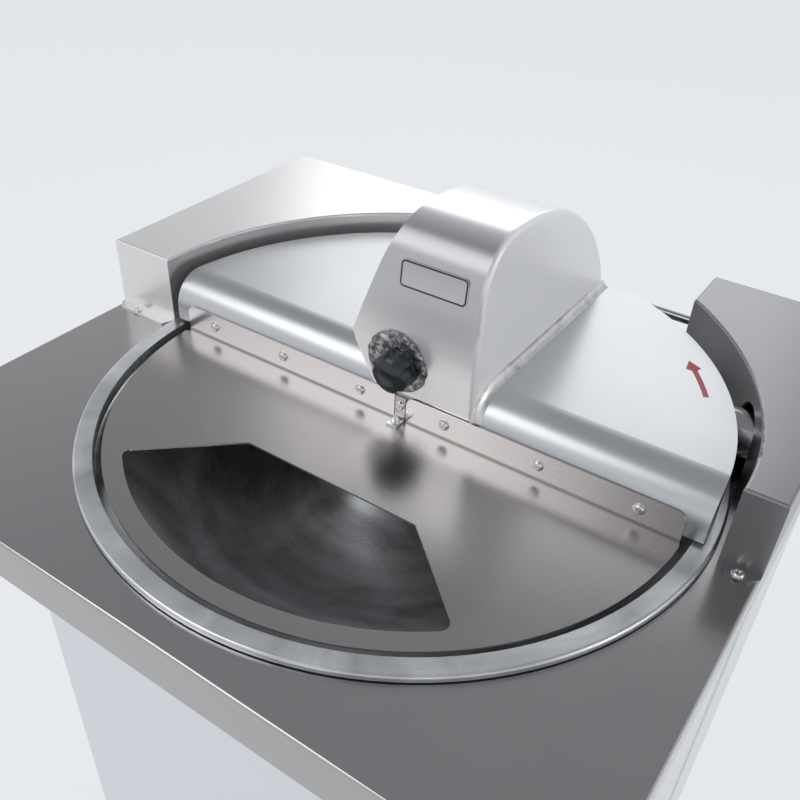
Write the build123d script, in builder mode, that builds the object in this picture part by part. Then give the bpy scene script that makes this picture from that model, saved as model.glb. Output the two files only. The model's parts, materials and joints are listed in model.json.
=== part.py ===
from build123d import *
from math import acos, asin, atan2, cos, degrees, pi, radians, sin, sqrt
import os

os.makedirs("parts", exist_ok=True)

# Bench-height meat bowl cutter: a stainless table on a cabinet, a turning bowl, knives under a hinged lid.
# X runs to the operator's right, Y to the back, Z up from the floor under the middle of the table.
# Most places are given from the bowl axis (x, y) and from the table top (z): the "bowl frame".

# ---- driving dimensions, millimetres ----
table_height = 762.0  # floor to table top
table_flange = 51.0  # depth of the folded table edge
table_lip = 14.0  # inward lip under the folded edge
table_corner = 5.0
table_bend = 3.0
left_margin = 85.5  # table edge beyond the bowl rim
right_margin = 42.5
front_margin = 28.0
rear_margin = 28.0
sheet = 2.0  # stainless sheet

rim_radius = 320.0  # outer edge of the bowl
rim_width = 18.5
rim_top = 7.4  # above the table
rim_lift = 1.5  # running gap under the rim
rim_bead = 3.0
bowl_wall = 6.0
hub_top = -6.0
hub_radius = 20.0
hub_bore = 12.5
hub_depth = 54.0

knife_radius = 118.0
knife_gap = 4.0  # knife tip to bowl
knife_thickness = 4.0
knife_pitch = 16.0
knife_count = 3
shaft_height = 34.0  # knife shaft above the table
hub_gap = 25.0  # bowl axis to the knives' circle
shaft_radius = 12.45
shaft_bore = 12.5
seat_flats = 30.0  # hexagonal knife seat, across flats
knife_shoulder_x = 30.0  # left face of the shaft's shoulder

pulley_width = 24.0
knife_pulley_radius = 40.0
motor_pulley_radius = 70.0
belt_pitch = 12.0  # between the two belts
belt_width = 8.0
belt_depth = 8.0

sleeve_radius = 23.0
sleeve_bore = 21.0
sleeve_start_x = 100.0
bearing_width = 12.0
running_gap = 0.05

lid_side_gap = 9.5  # lid inside the rim
lid_top = 62.0
lid_bottom = 11.0
lid_rear_cut = 22.5  # the lid's round back is cut flat this far in
lid_bend = 37.0
dome_right = 80.0
dome_rise = 69.0  # knives' circle to the top of the dome
hinge_offset = 11.0  # rod behind the lid
hinge_height = 45.0
rod_radius = 5.0

plate_radius = 293.8
plate_top = 4.3
strip_top = 35.0
strip_half = 292.0
feed_inner = 121.0  # chord of the feed opening
feed_half = 97.0
feed_outer_radius = 274.5

guard_height = 80.5
guard_gap = 13.0  # guard's inner wall outside the lid
guard_front = 1.5
guard_shift = 2.0
arch_radius = 30.0
arch_depth = 65.0

cabinet_left_inset = 39.0  # cabinet wall inside the rim
cabinet_front_inset = 50.0
cabinet_rear_inset = 20.0
cabinet_right_gap = 3.0  # cabinet wall inside the table edge
foot_height = 60.0
frame_height = 40.0
frame_wall = 4.0

# ---- sizes worked out from them ----
bowl_x = (left_margin - right_margin) / 2
table_width = 2 * rim_radius + left_margin + right_margin
table_depth = 2 * rim_radius + front_margin + rear_margin
table_left = -rim_radius - left_margin
table_right = rim_radius + right_margin
table_rear = rim_radius + rear_margin
table_opening = rim_radius - 8.0
shaft_y = knife_radius + hub_gap
trough_radius = knife_radius + knife_gap
rim_inner = rim_radius - rim_width
lid_radius = rim_radius - lid_side_gap
lid_rear = lid_radius - lid_rear_cut
rod_y = lid_rear + hinge_offset
guard_radius = lid_radius + guard_gap
pulley_left_x = rim_radius + 11.0
cabinet_left = -(rim_radius - cabinet_left_inset)
cabinet_front = -(rim_radius - cabinet_front_inset)
cabinet_rear = rim_radius - cabinet_rear_inset
cabinet_right = table_right - cabinet_right_gap
cabinet_bottom = foot_height + frame_height - table_height
cabinet_width = cabinet_right - cabinet_left
cabinet_depth = cabinet_rear - cabinet_front
cabinet_middle_x = (cabinet_left + cabinet_right) / 2
cabinet_middle_y = (cabinet_front + cabinet_rear) / 2
motor_y = shaft_y


def level(z):
    """Level plane z above the table top, centred on the bowl axis."""
    return Plane((bowl_x, 0, table_height + z))


def across(x):
    """Upright plane facing right, x from the bowl axis; drawn in Y and Z above the table."""
    return Plane((bowl_x + x, 0, table_height), x_dir=(0, 1, 0), z_dir=(1, 0, 0))


def facing(y):
    """Upright plane facing the operator at y; drawn in X from the bowl axis and Z above the table."""
    return Plane((bowl_x, y, table_height), x_dir=(1, 0, 0), z_dir=(0, -1, 0))


def save(part, label):
    part.label = label
    export_step(part, f"parts/{label}.step")


bowl_axis = Axis((bowl_x, 0, 0), (0, 0, 1))


# ================= table =================
collar_depth = 12.0
belt_slot_half = motor_pulley_radius - 10
strip_hole = 2.6
tab_screw_x = {1: rim_radius + 25.0, -1: -rim_radius - 53.0}
tab_screw_y = -7.5
with BuildPart() as table_top:
    with BuildSketch(Plane((0, 0, table_height))):
        RectangleRounded(table_width, table_depth, table_corner)
    extrude(amount=-table_flange)
    fillet(table_top.faces().sort_by(Axis.Z)[-1].edges(), table_bend)
    with BuildSketch(Plane((0, 0, table_height - sheet))):
        RectangleRounded(table_width - 2 * sheet, table_depth - 2 * sheet, table_corner - sheet)
    extrude(amount=-(table_flange - 2 * sheet), mode=Mode.SUBTRACT)
    with BuildSketch(Plane((0, 0, table_height - table_flange))):
        RectangleRounded(table_width - 2 * table_lip, table_depth - 2 * table_lip, table_corner)
    extrude(amount=sheet, mode=Mode.SUBTRACT)
    with BuildSketch(level(-collar_depth)):
        Circle(table_opening + sheet)
    extrude(amount=collar_depth)
    with BuildSketch(level(0)):
        Circle(table_opening)
        with Locations((pulley_left_x + pulley_width / 2, shaft_y)):
            Rectangle(pulley_width + 6, 2 * belt_slot_half)
        with Locations(*[(tab_screw_x[side], tab_screw_y) for side in (-1, 1)]):
            Circle(strip_hole)
    extrude(amount=-collar_depth, mode=Mode.SUBTRACT)
    with BuildSketch(level(-table_flange)):
        with Locations(((pulley_left_x + table_right - sheet) / 2, cabinet_middle_y)):
            Rectangle(table_right - sheet - pulley_left_x, cabinet_depth + 2)
    extrude(amount=sheet, mode=Mode.SUBTRACT)
save(table_top.part, "table_top")

# ================= bowl =================
# The trough is an arc about the knife shaft; a straight flank, tangent to it, climbs to the rim.
rim_floor = -4.0
to_rim = (rim_inner - shaft_y, rim_floor - shaft_height)
rim_distance = sqrt(to_rim[0] ** 2 + to_rim[1] ** 2)
flank = atan2(to_rim[1], to_rim[0]) - acos(trough_radius / rim_distance)
outer_radius = trough_radius + bowl_wall
flank_in = (shaft_y + trough_radius * cos(flank), shaft_height + trough_radius * sin(flank))
flank_out = (shaft_y + outer_radius * cos(flank), shaft_height + outer_radius * sin(flank))
rim_wall = rim_inner + bowl_wall
rim_wall_z = flank_out[1] - (rim_wall - flank_out[0]) * cos(flank) / sin(flank)
cone_radius = 32.0
boss_radius = 38.0
drive_screw_circle = 28.0
drive_screw_radius = 4.0
drive_screw_count = 3
bead_corner = rim_bead * (1 - sin(radians(45)))


def trough_z(distance, arc):
    """Height of an arc about the knife shaft at a distance from the bowl axis."""
    return shaft_height - sqrt(arc**2 - (shaft_y - distance) ** 2)


hub_bottom = hub_top - hub_depth
cone_foot = (cone_radius, trough_z(cone_radius, trough_radius))
boss_top = (boss_radius, trough_z(boss_radius, outer_radius))
bead_start = (rim_radius - rim_bead, rim_top)
bead_end = (rim_radius, rim_top - rim_bead)
with BuildPart() as bowl_shell:
    with BuildSketch(facing(0)):
        with BuildLine():
            Polyline((hub_bore, hub_bottom), (hub_bore, hub_top), (hub_radius, hub_top), cone_foot)
            ThreePointArc(cone_foot, (shaft_y, shaft_height - trough_radius), flank_in)
            Polyline(flank_in, (rim_inner, rim_floor), (rim_inner, rim_top), bead_start)
            ThreePointArc(bead_start, (rim_radius - bead_corner, rim_top - bead_corner), bead_end)
            Polyline(bead_end, (rim_radius, rim_lift), (rim_wall, rim_lift), (rim_wall, rim_wall_z), flank_out)
            ThreePointArc(flank_out, (shaft_y, shaft_height - outer_radius), boss_top)
            Polyline(boss_top, (boss_radius, hub_bottom), (hub_bore, hub_bottom))
        make_face()
    revolve(axis=bowl_axis)
    with BuildSketch(level(hub_bottom)):
        with PolarLocations(drive_screw_circle, drive_screw_count):
            Circle(drive_screw_radius)
    extrude(amount=14, mode=Mode.SUBTRACT)
save(bowl_shell.part, "bowl")

# The bowl sits on the spindle's flange, is driven by three screws and held down by a low nut.
flange_radius = 42.0
flange_thickness = 10.0
flange_bottom = hub_bottom - flange_thickness
spindle_radius = 17.45
stub_radius = 12.45
stub_length = 80.0
spindle_length = 324.0
spindle_end = hub_top - spindle_length
thread_radius = 8.0
with BuildPart() as bowl_spindle:
    with BuildSketch(facing(0)):
        with BuildLine():
            Polyline((0, spindle_end), (stub_radius, spindle_end), (stub_radius, spindle_end + stub_length),
                     (spindle_radius, spindle_end + stub_length), (spindle_radius, flange_bottom),
                     (flange_radius, flange_bottom), (flange_radius, hub_bottom),
                     (hub_bore - running_gap, hub_bottom), (hub_bore - running_gap, hub_top - 12),
                     (thread_radius, hub_top - 12), (thread_radius, hub_top + 5),
                     (thread_radius - 1, hub_top + 6), (0, hub_top + 6), close=True)
        make_face()
    revolve(axis=bowl_axis)
    with BuildSketch(level(flange_bottom)):
        with PolarLocations(drive_screw_circle, drive_screw_count):
            Circle(drive_screw_radius)
    extrude(amount=flange_thickness, mode=Mode.SUBTRACT)
save(bowl_spindle.part, "bowl_spindle")

nut_washer = 1.5
nut_height = 4.5
with BuildPart() as bowl_nut:
    with BuildSketch(level(hub_top)):
        Circle(15)
    extrude(amount=nut_washer)
    with BuildSketch(level(hub_top + nut_washer)):
        RegularPolygon(12, 6, major_radius=False)
    extrude(amount=nut_height)
    with BuildSketch(level(hub_top)):
        Circle(thread_radius + running_gap)
    extrude(amount=nut_washer + nut_height, mode=Mode.SUBTRACT)
save(bowl_nut.part, "bowl_nut")

drive_head = 7.0
with BuildPart() as drive_screws:
    with BuildSketch(level(flange_bottom - drive_head)):
        with PolarLocations(drive_screw_circle, drive_screw_count):
            RegularPolygon(6.5, 6, major_radius=False)
    extrude(amount=drive_head)
    with BuildSketch(level(flange_bottom)):
        with PolarLocations(drive_screw_circle, drive_screw_count):
            Circle(drive_screw_radius - running_gap)
    extrude(amount=flange_thickness + 13)
save(drive_screws.part, "bowl_drive_screws")

# ================= bowl bearing housing, beam and gearmotor =================
beam_top = -250.0
beam_width = 200.0
beam_plate = 6.0
beam_skirt = 40.0
housing_radius = 50.0
housing_foot_radius = 82.0
housing_foot = 12.0
housing_top = flange_bottom - 8.0
bowl_bearing_bore = 36.0
bowl_bearing_width = 17.0
housing_bolt_circle = 68.0
bolt_radius = 5.0
with BuildPart() as bowl_bearing_housing:
    with BuildSketch(facing(0)):
        with BuildLine():
            Polyline((bowl_bearing_bore, beam_top + 4), (bowl_bearing_bore, housing_top), (housing_radius, housing_top),
                     (housing_radius, beam_top + 40), (housing_radius + 5, beam_top + housing_foot),
                     (housing_foot_radius, beam_top + housing_foot), (housing_foot_radius, beam_top),
                     (spindle_radius + 4, beam_top), (spindle_radius + 4, beam_top + 4), close=True)
        make_face()
    revolve(axis=bowl_axis)
    with BuildSketch(level(beam_top)):
        with PolarLocations(housing_bolt_circle, 4, start_angle=45):
            Circle(bolt_radius)
    extrude(amount=housing_foot, mode=Mode.SUBTRACT)
save(bowl_bearing_housing.part, "bowl_bearing_housing")

with BuildPart() as bowl_bearings:
    for bottom in (beam_top + 4, housing_top - bowl_bearing_width - 4):
        with BuildSketch(level(bottom)):
            Circle(bowl_bearing_bore - running_gap)
            Circle(spindle_radius + running_gap, mode=Mode.SUBTRACT)
        extrude(amount=bowl_bearing_width)
        with BuildSketch(level(bottom + bowl_bearing_width)):
            Circle(bowl_bearing_bore - 5)
            Circle(spindle_radius + 5, mode=Mode.SUBTRACT)
        extrude(amount=-2, mode=Mode.SUBTRACT)
save(bowl_bearings.part, "bowl_bearings")

beam_front = cabinet_front + sheet
beam_back = cabinet_rear - sheet
beam_length = beam_back - beam_front
bracket_leg = 50.0
with BuildPart() as drive_beam:
    with BuildSketch(facing(beam_back)):
        with BuildLine():
            Polyline((-beam_width / 2, beam_top), (beam_width / 2, beam_top),
                     (beam_width / 2, beam_top - beam_skirt), (beam_width / 2 - beam_plate, beam_top - beam_skirt),
                     (beam_width / 2 - beam_plate, beam_top - beam_plate),
                     (-beam_width / 2 + beam_plate, beam_top - beam_plate),
                     (-beam_width / 2 + beam_plate, beam_top - beam_skirt), (-beam_width / 2, beam_top - beam_skirt),
                     close=True)
        make_face()
    extrude(amount=beam_length)
    with BuildSketch(level(beam_top)):
        Circle(spindle_radius + 8)
        with PolarLocations(housing_bolt_circle, 4, start_angle=45):
            Circle(bolt_radius)
    extrude(amount=-beam_plate, mode=Mode.SUBTRACT)
    for wall_y, reach in ((beam_front, bracket_leg), (beam_back, -bracket_leg)):
        with BuildSketch(across(-beam_width / 2 + beam_plate)):
            with BuildLine():
                Polyline((wall_y, beam_top - beam_plate), (wall_y + reach, beam_top - beam_plate),
                         (wall_y + reach, beam_top - 2 * beam_plate),
                         (wall_y + beam_plate * reach / bracket_leg, beam_top - 2 * beam_plate),
                         (wall_y + beam_plate * reach / bracket_leg, beam_top - beam_plate - bracket_leg),
                         (wall_y, beam_top - beam_plate - bracket_leg), close=True)
            make_face()
        extrude(amount=beam_width - 2 * beam_plate)
save(drive_beam.part, "drive_beam")

with BuildPart() as housing_bolts:
    with BuildSketch(level(beam_top + housing_foot)):
        with PolarLocations(housing_bolt_circle, 4, start_angle=45):
            RegularPolygon(8.5, 6, major_radius=False)
    extrude(amount=6.5)
    with BuildSketch(level(beam_top + housing_foot)):
        with PolarLocations(housing_bolt_circle, 4, start_angle=45):
            Circle(bolt_radius - running_gap)
    extrude(amount=-(housing_foot + beam_plate))
    with BuildSketch(level(beam_top - beam_plate)):
        with PolarLocations(housing_bolt_circle, 4, start_angle=45):
            RegularPolygon(8.5, 6, major_radius=False)
    extrude(amount=-8)
save(housing_bolts.part, "housing_bolts")

gearbox_width = 120.0
gearbox_height = 104.0
gearbox_top = beam_top - beam_plate - 8.0
gearbox_axis = gearbox_top - gearbox_height / 2
bowl_motor_radius = 54.0
bowl_motor_flange = 12.0
bowl_motor_length = 110.0
bowl_motor_cap = 28.0
fin_depth = 6.0
with BuildPart() as bowl_gearmotor:
    with BuildSketch(level(gearbox_top)):
        RectangleRounded(gearbox_width, gearbox_width, 16)
    extrude(amount=-gearbox_height)
    fillet(bowl_gearmotor.edges().group_by(Axis.Z)[0], 8)
    with BuildSketch(level(gearbox_top)):
        Circle(44)
    extrude(amount=8)
    with BuildSketch(facing(gearbox_width / 2)):
        with Locations((0, gearbox_axis)):
            Circle(bowl_motor_radius)
    extrude(amount=-bowl_motor_flange)
    with BuildSketch(facing(gearbox_width / 2 + bowl_motor_flange)):
        with Locations((0, gearbox_axis)):
            Circle(bowl_motor_radius - fin_depth)
            with PolarLocations(bowl_motor_radius - fin_depth, 20):
                Rectangle(2 * fin_depth - 1, 2.5)
    extrude(amount=-bowl_motor_length)
    with BuildSketch(facing(gearbox_width / 2 + bowl_motor_flange + bowl_motor_length)):
        with Locations((0, gearbox_axis)):
            Circle(bowl_motor_radius)
    extrude(amount=-bowl_motor_cap)
    fillet(bowl_gearmotor.edges().group_by(Axis.Y)[-1], 6)
    with BuildSketch(level(gearbox_top + 8)):
        Circle(stub_radius + running_gap)
    extrude(amount=-gearbox_height - 8, mode=Mode.SUBTRACT)
save(bowl_gearmotor.part, "bowl_gearmotor")

# ================= knife shaft, its housing and bearings =================
pedestal_x = pulley_left_x - 15.0
pedestal_thickness = 12.0
pedestal_radius = shaft_height - 2.0
pedestal_half = 42.0
pedestal_foot = 10.0
pedestal_bolt_y = 32.0
shaft_y_z = (shaft_y, shaft_height)
front_bearing_x = sleeve_start_x + 5.0
rear_bearing_x = pedestal_x - 2.0
with BuildPart() as knife_bearing_housing:
    with BuildSketch(across(sleeve_start_x)):
        with Locations(shaft_y_z):
            Circle(sleeve_radius)
    extrude(amount=pedestal_x - sleeve_start_x)
    with BuildSketch(across(pedestal_x)):
        with Locations(shaft_y_z):
            Circle(pedestal_radius)
        with Locations((shaft_y, shaft_height / 2)):
            Rectangle(2 * pedestal_radius, shaft_height)
    extrude(amount=pedestal_thickness)
    with BuildSketch(across(pedestal_x)):
        with Locations((shaft_y, pedestal_foot / 2)):
            Rectangle(2 * (pedestal_half + 10), pedestal_foot)
    extrude(amount=pedestal_thickness)
    with BuildSketch(across(sleeve_start_x)):
        with Locations(shaft_y_z):
            Circle(sleeve_bore)
    extrude(amount=bearing_width + 6, mode=Mode.SUBTRACT)
    with BuildSketch(across(pedestal_x + pedestal_thickness)):
        with Locations(shaft_y_z):
            Circle(sleeve_bore)
    extrude(amount=-(pedestal_thickness + 4), mode=Mode.SUBTRACT)
    with BuildSketch(across(sleeve_start_x)):
        with Locations(shaft_y_z):
            Circle(shaft_radius + 4)
    extrude(amount=pedestal_x - sleeve_start_x, mode=Mode.SUBTRACT)
    with BuildSketch(level(pedestal_foot)):
        with Locations((pedestal_x + pedestal_thickness / 2, shaft_y - pedestal_half - 1),
                       (pedestal_x + pedestal_thickness / 2, shaft_y + pedestal_half + 1)):
            Circle(3)
    extrude(amount=-pedestal_foot, mode=Mode.SUBTRACT)
save(knife_bearing_housing.part, "knife_bearing_housing")

with BuildPart() as knife_bearings:
    for left in (front_bearing_x, rear_bearing_x):
        with BuildSketch(across(left)):
            with Locations(shaft_y_z):
                Circle(sleeve_bore - running_gap)
                Circle(shaft_bore, mode=Mode.SUBTRACT)
        extrude(amount=bearing_width)
        with BuildSketch(across(left)):
            with Locations(shaft_y_z):
                Circle(sleeve_bore - 3)
                Circle(shaft_bore + 2.5, mode=Mode.SUBTRACT)
        extrude(amount=1, mode=Mode.SUBTRACT)
save(knife_bearings.part, "knife_bearings")

with BuildPart() as shaft_seal:
    with BuildSketch(across(sleeve_start_x)):
        with Locations(shaft_y_z):
            Circle(sleeve_bore - running_gap)
            Circle(shaft_bore, mode=Mode.SUBTRACT)
    extrude(amount=4.5)
save(shaft_seal.part, "shaft_seal")

seat_length = knife_shoulder_x - knife_count * knife_pitch + (knife_pitch - knife_thickness)
shoulder_radius = 27.0
shoulder_thickness = 8.0
thread_start = knife_shoulder_x - (knife_count - 1) * knife_pitch - knife_thickness - 4.0
nut_thickness = 13.0
shaft_thread = 10.0
shaft_left = thread_start - nut_thickness - 3.0
pulley_bore = 12.05
shaft_right = pulley_left_x + pulley_width
with BuildPart() as knife_shaft:
    with BuildSketch(across(shaft_left)):
        with Locations(shaft_y_z):
            Circle(shaft_thread)
    extrude(amount=thread_start - shaft_left)
    chamfer(knife_shaft.edges().group_by(Axis.X)[0], 1.5)
    with BuildSketch(across(thread_start)):
        with Locations(shaft_y_z):
            RegularPolygon(seat_flats / 2, 6, major_radius=False)
    extrude(amount=knife_shoulder_x - thread_start)
    with BuildSketch(across(knife_shoulder_x)):
        with Locations(shaft_y_z):
            Circle(shoulder_radius)
    extrude(amount=shoulder_thickness)
    with BuildSketch(across(knife_shoulder_x + shoulder_thickness)):
        with Locations(shaft_y_z):
            Circle(shaft_radius)
    extrude(amount=pulley_left_x - knife_shoulder_x - shoulder_thickness)
    with BuildSketch(across(pulley_left_x)):
        with Locations(shaft_y_z):
            Circle(pulley_bore - running_gap)
    extrude(amount=pulley_width)
save(knife_shaft.part, "knife_shaft")


def at_angle(distance, angle):
    """Point at a distance and angle from the knife shaft, in Y and Z."""
    return (shaft_y + distance * cos(radians(angle)), shaft_height + distance * sin(radians(angle)))


knife_hub = 30.0
knife_names = ("knife_left", "knife_middle", "knife_right")
for index, knife_name in enumerate(knife_names):
    turn = 30 + 120 * index
    knife_x = knife_shoulder_x - knife_thickness - (knife_count - 1 - index) * knife_pitch
    with BuildPart() as knife:
        with BuildSketch(across(knife_x)):
            with BuildLine():
                ThreePointArc(at_angle(knife_hub, turn - 40), at_angle(0.68 * knife_radius, turn + 2),
                              at_angle(knife_radius, turn + 62))
                ThreePointArc(at_angle(knife_radius, turn + 62), at_angle(knife_radius, turn + 72),
                              at_angle(0.97 * knife_radius, turn + 80))
                ThreePointArc(at_angle(0.97 * knife_radius, turn + 80), at_angle(0.58 * knife_radius, turn + 66),
                              at_angle(knife_hub, turn + 62))
                Line(at_angle(knife_hub, turn + 62), at_angle(knife_hub, turn - 40))
            make_face()
            with Locations(shaft_y_z):
                Circle(knife_hub)
        extrude(amount=knife_thickness)
        with BuildSketch(across(knife_x)):
            with Locations(shaft_y_z):
                RegularPolygon(seat_flats / 2 + running_gap, 6, major_radius=False)
        extrude(amount=knife_thickness, mode=Mode.SUBTRACT)
    save(knife.part, knife_name)

spacer_radius = 25.0
with BuildPart() as knife_spacers:
    for index in range(knife_count - 1):
        with BuildSketch(across(knife_shoulder_x - (index + 1) * knife_pitch)):
            with Locations(shaft_y_z):
                Circle(spacer_radius)
                RegularPolygon(seat_flats / 2 + running_gap, 6, major_radius=False, mode=Mode.SUBTRACT)
        extrude(amount=knife_pitch - knife_thickness)
save(knife_spacers.part, "knife_spacers")

with BuildPart() as knife_nut:
    with BuildSketch(across(thread_start + 4)):
        with Locations(shaft_y_z):
            Circle(spacer_radius)
    extrude(amount=-4)
    with BuildSketch(across(thread_start + 4)):
        with Locations(shaft_y_z):
            RegularPolygon(seat_flats / 2 + running_gap, 6, major_radius=False)
    extrude(amount=-4, mode=Mode.SUBTRACT)
    with BuildSketch(across(thread_start)):
        with Locations(shaft_y_z):
            RegularPolygon(18, 6, major_radius=False)
    extrude(amount=-nut_thickness)
    with BuildSketch(across(thread_start)):
        with Locations(shaft_y_z):
            Circle(shaft_thread + running_gap)
    extrude(amount=-nut_thickness, mode=Mode.SUBTRACT)
save(knife_nut.part, "knife_nut")


# ================= belt drive =================
groove_depth = 9.5
groove_half = 5.2
groove_floor_half = 4.3
belt_x = [pulley_left_x + pulley_width / 2 + side * belt_pitch / 2 for side in (-1, 1)]


def belt_pulley(axis_z, radius, bore):
    """Two-groove pulley on the belt line, about an axis at a height above the table."""
    outline = [(pulley_left_x, bore), (pulley_left_x, radius)]
    for groove_x in belt_x:
        outline += [(groove_x - groove_half, radius), (groove_x - groove_floor_half, radius - groove_depth),
                    (groove_x + groove_floor_half, radius - groove_depth), (groove_x + groove_half, radius)]
    outline += [(pulley_left_x + pulley_width, radius), (pulley_left_x + pulley_width, radius - groove_depth - 4),
                (pulley_left_x + pulley_width - 7, radius - groove_depth - 6),
                (pulley_left_x + pulley_width - 7, bore + 9), (pulley_left_x + pulley_width, bore + 8),
                (pulley_left_x + pulley_width, bore)]
    with BuildPart() as pulley:
        with BuildSketch(Plane((bowl_x, shaft_y, table_height + axis_z), x_dir=(1, 0, 0), z_dir=(0, -1, 0))):
            with BuildLine():
                Polyline(*[(x, r) for x, r in outline], close=True)
            make_face()
        revolve(axis=Axis((bowl_x, shaft_y, table_height + axis_z), (1, 0, 0)))
    return pulley.part


slide_plate = 12.0
motor_height = 90.0
motor_z = foot_height + frame_height + slide_plate + motor_height - table_height
save(belt_pulley(shaft_height, knife_pulley_radius, pulley_bore), "knife_pulley")
save(belt_pulley(motor_z, motor_pulley_radius, pulley_bore), "motor_pulley")


def belt_outline(offset):
    """The belt's path round both pulleys, a distance outside their rims."""
    small = knife_pulley_radius + offset
    large = motor_pulley_radius + offset
    lean = asin((large - small) / (shaft_height - motor_z))
    side = []
    for sign in (-1, 1):
        for radius, height in ((small, shaft_height), (large, motor_z)):
            side.append((shaft_y + sign * radius * cos(lean), height + radius * sin(lean)))
    top_left, bottom_left, top_right, bottom_right = side
    ThreePointArc(top_left, (shaft_y, shaft_height + small), top_right)
    Line(top_right, bottom_right)
    ThreePointArc(bottom_right, (shaft_y, motor_z - large), bottom_left)
    Line(bottom_left, top_left)


with BuildPart() as drive_belts:
    for middle in belt_x:
        with BuildSketch(across(middle - belt_width / 2)):
            with BuildLine():
                belt_outline(-0.5)
            make_face()
            with BuildLine():
                belt_outline(-0.5 - belt_depth)
            make_face(mode=Mode.SUBTRACT)
        extrude(amount=belt_width)
save(drive_belts.part, "drive_belts")


# ================= lid: cover, knife dome, feed plate =================
def lid_form(inset):
    """Solid form of the lid's cover, its walls moved in by an amount."""
    height = lid_top - inset - lid_bottom
    with BuildPart() as form:
        with BuildSketch(level(lid_bottom)):
            Circle(lid_radius - inset)
            with Locations((0, inset - lid_radius)):
                Rectangle(3 * lid_radius, 2 * lid_radius, mode=Mode.SUBTRACT)
            with Locations((0, lid_rear - inset + lid_radius)):
                Rectangle(3 * lid_radius, 2 * lid_radius, mode=Mode.SUBTRACT)
        extrude(amount=height)
        with BuildSketch(across(-2 * lid_radius)):
            with BuildLine():
                Polyline((inset, lid_bottom), (inset, lid_top - lid_bend))
                ThreePointArc((inset, lid_top - lid_bend),
                              (lid_bend - (lid_bend - inset) * cos(radians(45)),
                               lid_top - lid_bend + (lid_bend - inset) * sin(radians(45))),
                              (lid_bend, lid_top - inset))
                Polyline((lid_bend, lid_top - inset), (lid_rear, lid_top - inset), (lid_rear, lid_bottom),
                         (inset, lid_bottom))
            make_face()
        extrude(amount=4 * lid_radius, mode=Mode.INTERSECT)
    return form.part


dome_front = -3.8
dome_foot = 0.5
dome_top = shaft_height + knife_radius + dome_rise - 4.0
dome_rear = lid_rear - 2.0
dome_low = 28.0
dome_left_low = -30.0
dome_left_out = -60.0
dome_left_top = -10.0
dome_edge = 5.0
dome_brow = 50.0


def dome_form(inset):
    """Solid form of the knife dome: its side outline crossed with its front outline, moved in by an amount."""
    crest = (60.0, dome_top - 2.0)
    low = dome_low - 2 * inset
    with BuildPart() as form:
        with BuildSketch(across(-2 * dome_right)) as side:
            with BuildLine():
                front_curve = ThreePointArc((dome_foot, low), (dome_front, 98.0), (5.5, crest[1]))
                Line(front_curve @ 1, crest)
                roof = TangentArc(crest, (dome_rear, lid_top), tangent=(1, 0))
                Polyline(roof @ 1, (dome_rear, low), (dome_foot, low))
            make_face()
            fillet(side.vertices().group_by(Axis.Y)[-1].sort_by(Axis.X)[0], dome_brow)
            if inset:
                offset(amount=-inset, mode=Mode.REPLACE)
        extrude(amount=4 * dome_right)
        with BuildSketch(facing(2 * lid_rear)) as front:
            with BuildLine():
                Polyline((dome_left_low, low), (dome_left_out, 88), (dome_left_top, dome_top + 10),
                         (dome_right, dome_top + 10), (dome_right, low), (dome_left_low, low))
            make_face()
            fillet(front.vertices().sort_by(Axis.X)[0], 26)
            if inset:
                offset(amount=-inset, mode=Mode.REPLACE)
        extrude(amount=4 * lid_rear, mode=Mode.INTERSECT)
        side_edges = form.faces().sort_by(Axis.X)[-1].edges().filter_by(GeomType.LINE, reverse=True)
        fillet(side_edges, dome_edge - inset)
    return form.part


dome_outside = dome_form(0)
dome_inside = dome_form(sheet)
lid_outside = lid_form(0)
lid_inside = lid_form(sheet)
strip_screw_x = (50.3, 152.4, 251.3)
strip_screw_z = 20.5
notch_left = -8.0
notch_right = 6.0
notch_floor = 8.0
knob_x = 0.0
knob_z = 71.0
stud_radius = 4.0
slot_half = 33.0
strip_screw_places = [(side * x, strip_screw_z) for x in strip_screw_x for side in (-1, 1)]
knob_back = -6.6
boss_radius_front = 9.0
weld_nut = 4.0
weld_nut_height = 3.2
clip_x = (notch_left + notch_right) / 2
knuckle_radius = 9.0
knuckle_length = 34.0
knuckle_x = (-75.0, 75.0)
clip_width = 12.0
clip_screw_z = 22.0
clip_screw_y = -10.0
clip_reach = 17.0
with BuildPart() as lid_cover:
    add(lid_outside)
    add(lid_inside, mode=Mode.SUBTRACT)
    add(dome_inside, mode=Mode.SUBTRACT)
    with BuildSketch(across(0)):
        with Locations((shaft_y, shaft_height)):
            Circle(sleeve_radius + 1.5)
        with Locations((shaft_y, shaft_height - sleeve_radius)):
            Rectangle(2 * slot_half, 2 * sleeve_radius)
    extrude(amount=lid_radius, mode=Mode.SUBTRACT)
    with BuildSketch(facing(sheet + 1)):
        with Locations(*strip_screw_places, (clip_x, clip_screw_z)):
            Circle(strip_hole)
    extrude(amount=sheet + 2, mode=Mode.SUBTRACT)
    for x, z in (*strip_screw_places, (clip_x, clip_screw_z)):
        with BuildSketch(facing(sheet)):
            with Locations((x, z)):
                RegularPolygon(weld_nut, 6, major_radius=False)
                Circle(strip_hole, mode=Mode.SUBTRACT)
        extrude(amount=-weld_nut_height)
    for middle in knuckle_x:
        with BuildSketch(across(middle - knuckle_length / 2)):
            with Locations((rod_y, hinge_height)):
                Circle(knuckle_radius)
            with Locations(((lid_rear + rod_y) / 2, hinge_height)):
                Rectangle(rod_y - lid_rear, 2 * knuckle_radius)
            with Locations((rod_y, hinge_height)):
                Circle(rod_radius + running_gap, mode=Mode.SUBTRACT)
        extrude(amount=knuckle_length)
save(lid_cover.part, "lid_cover")

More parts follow.
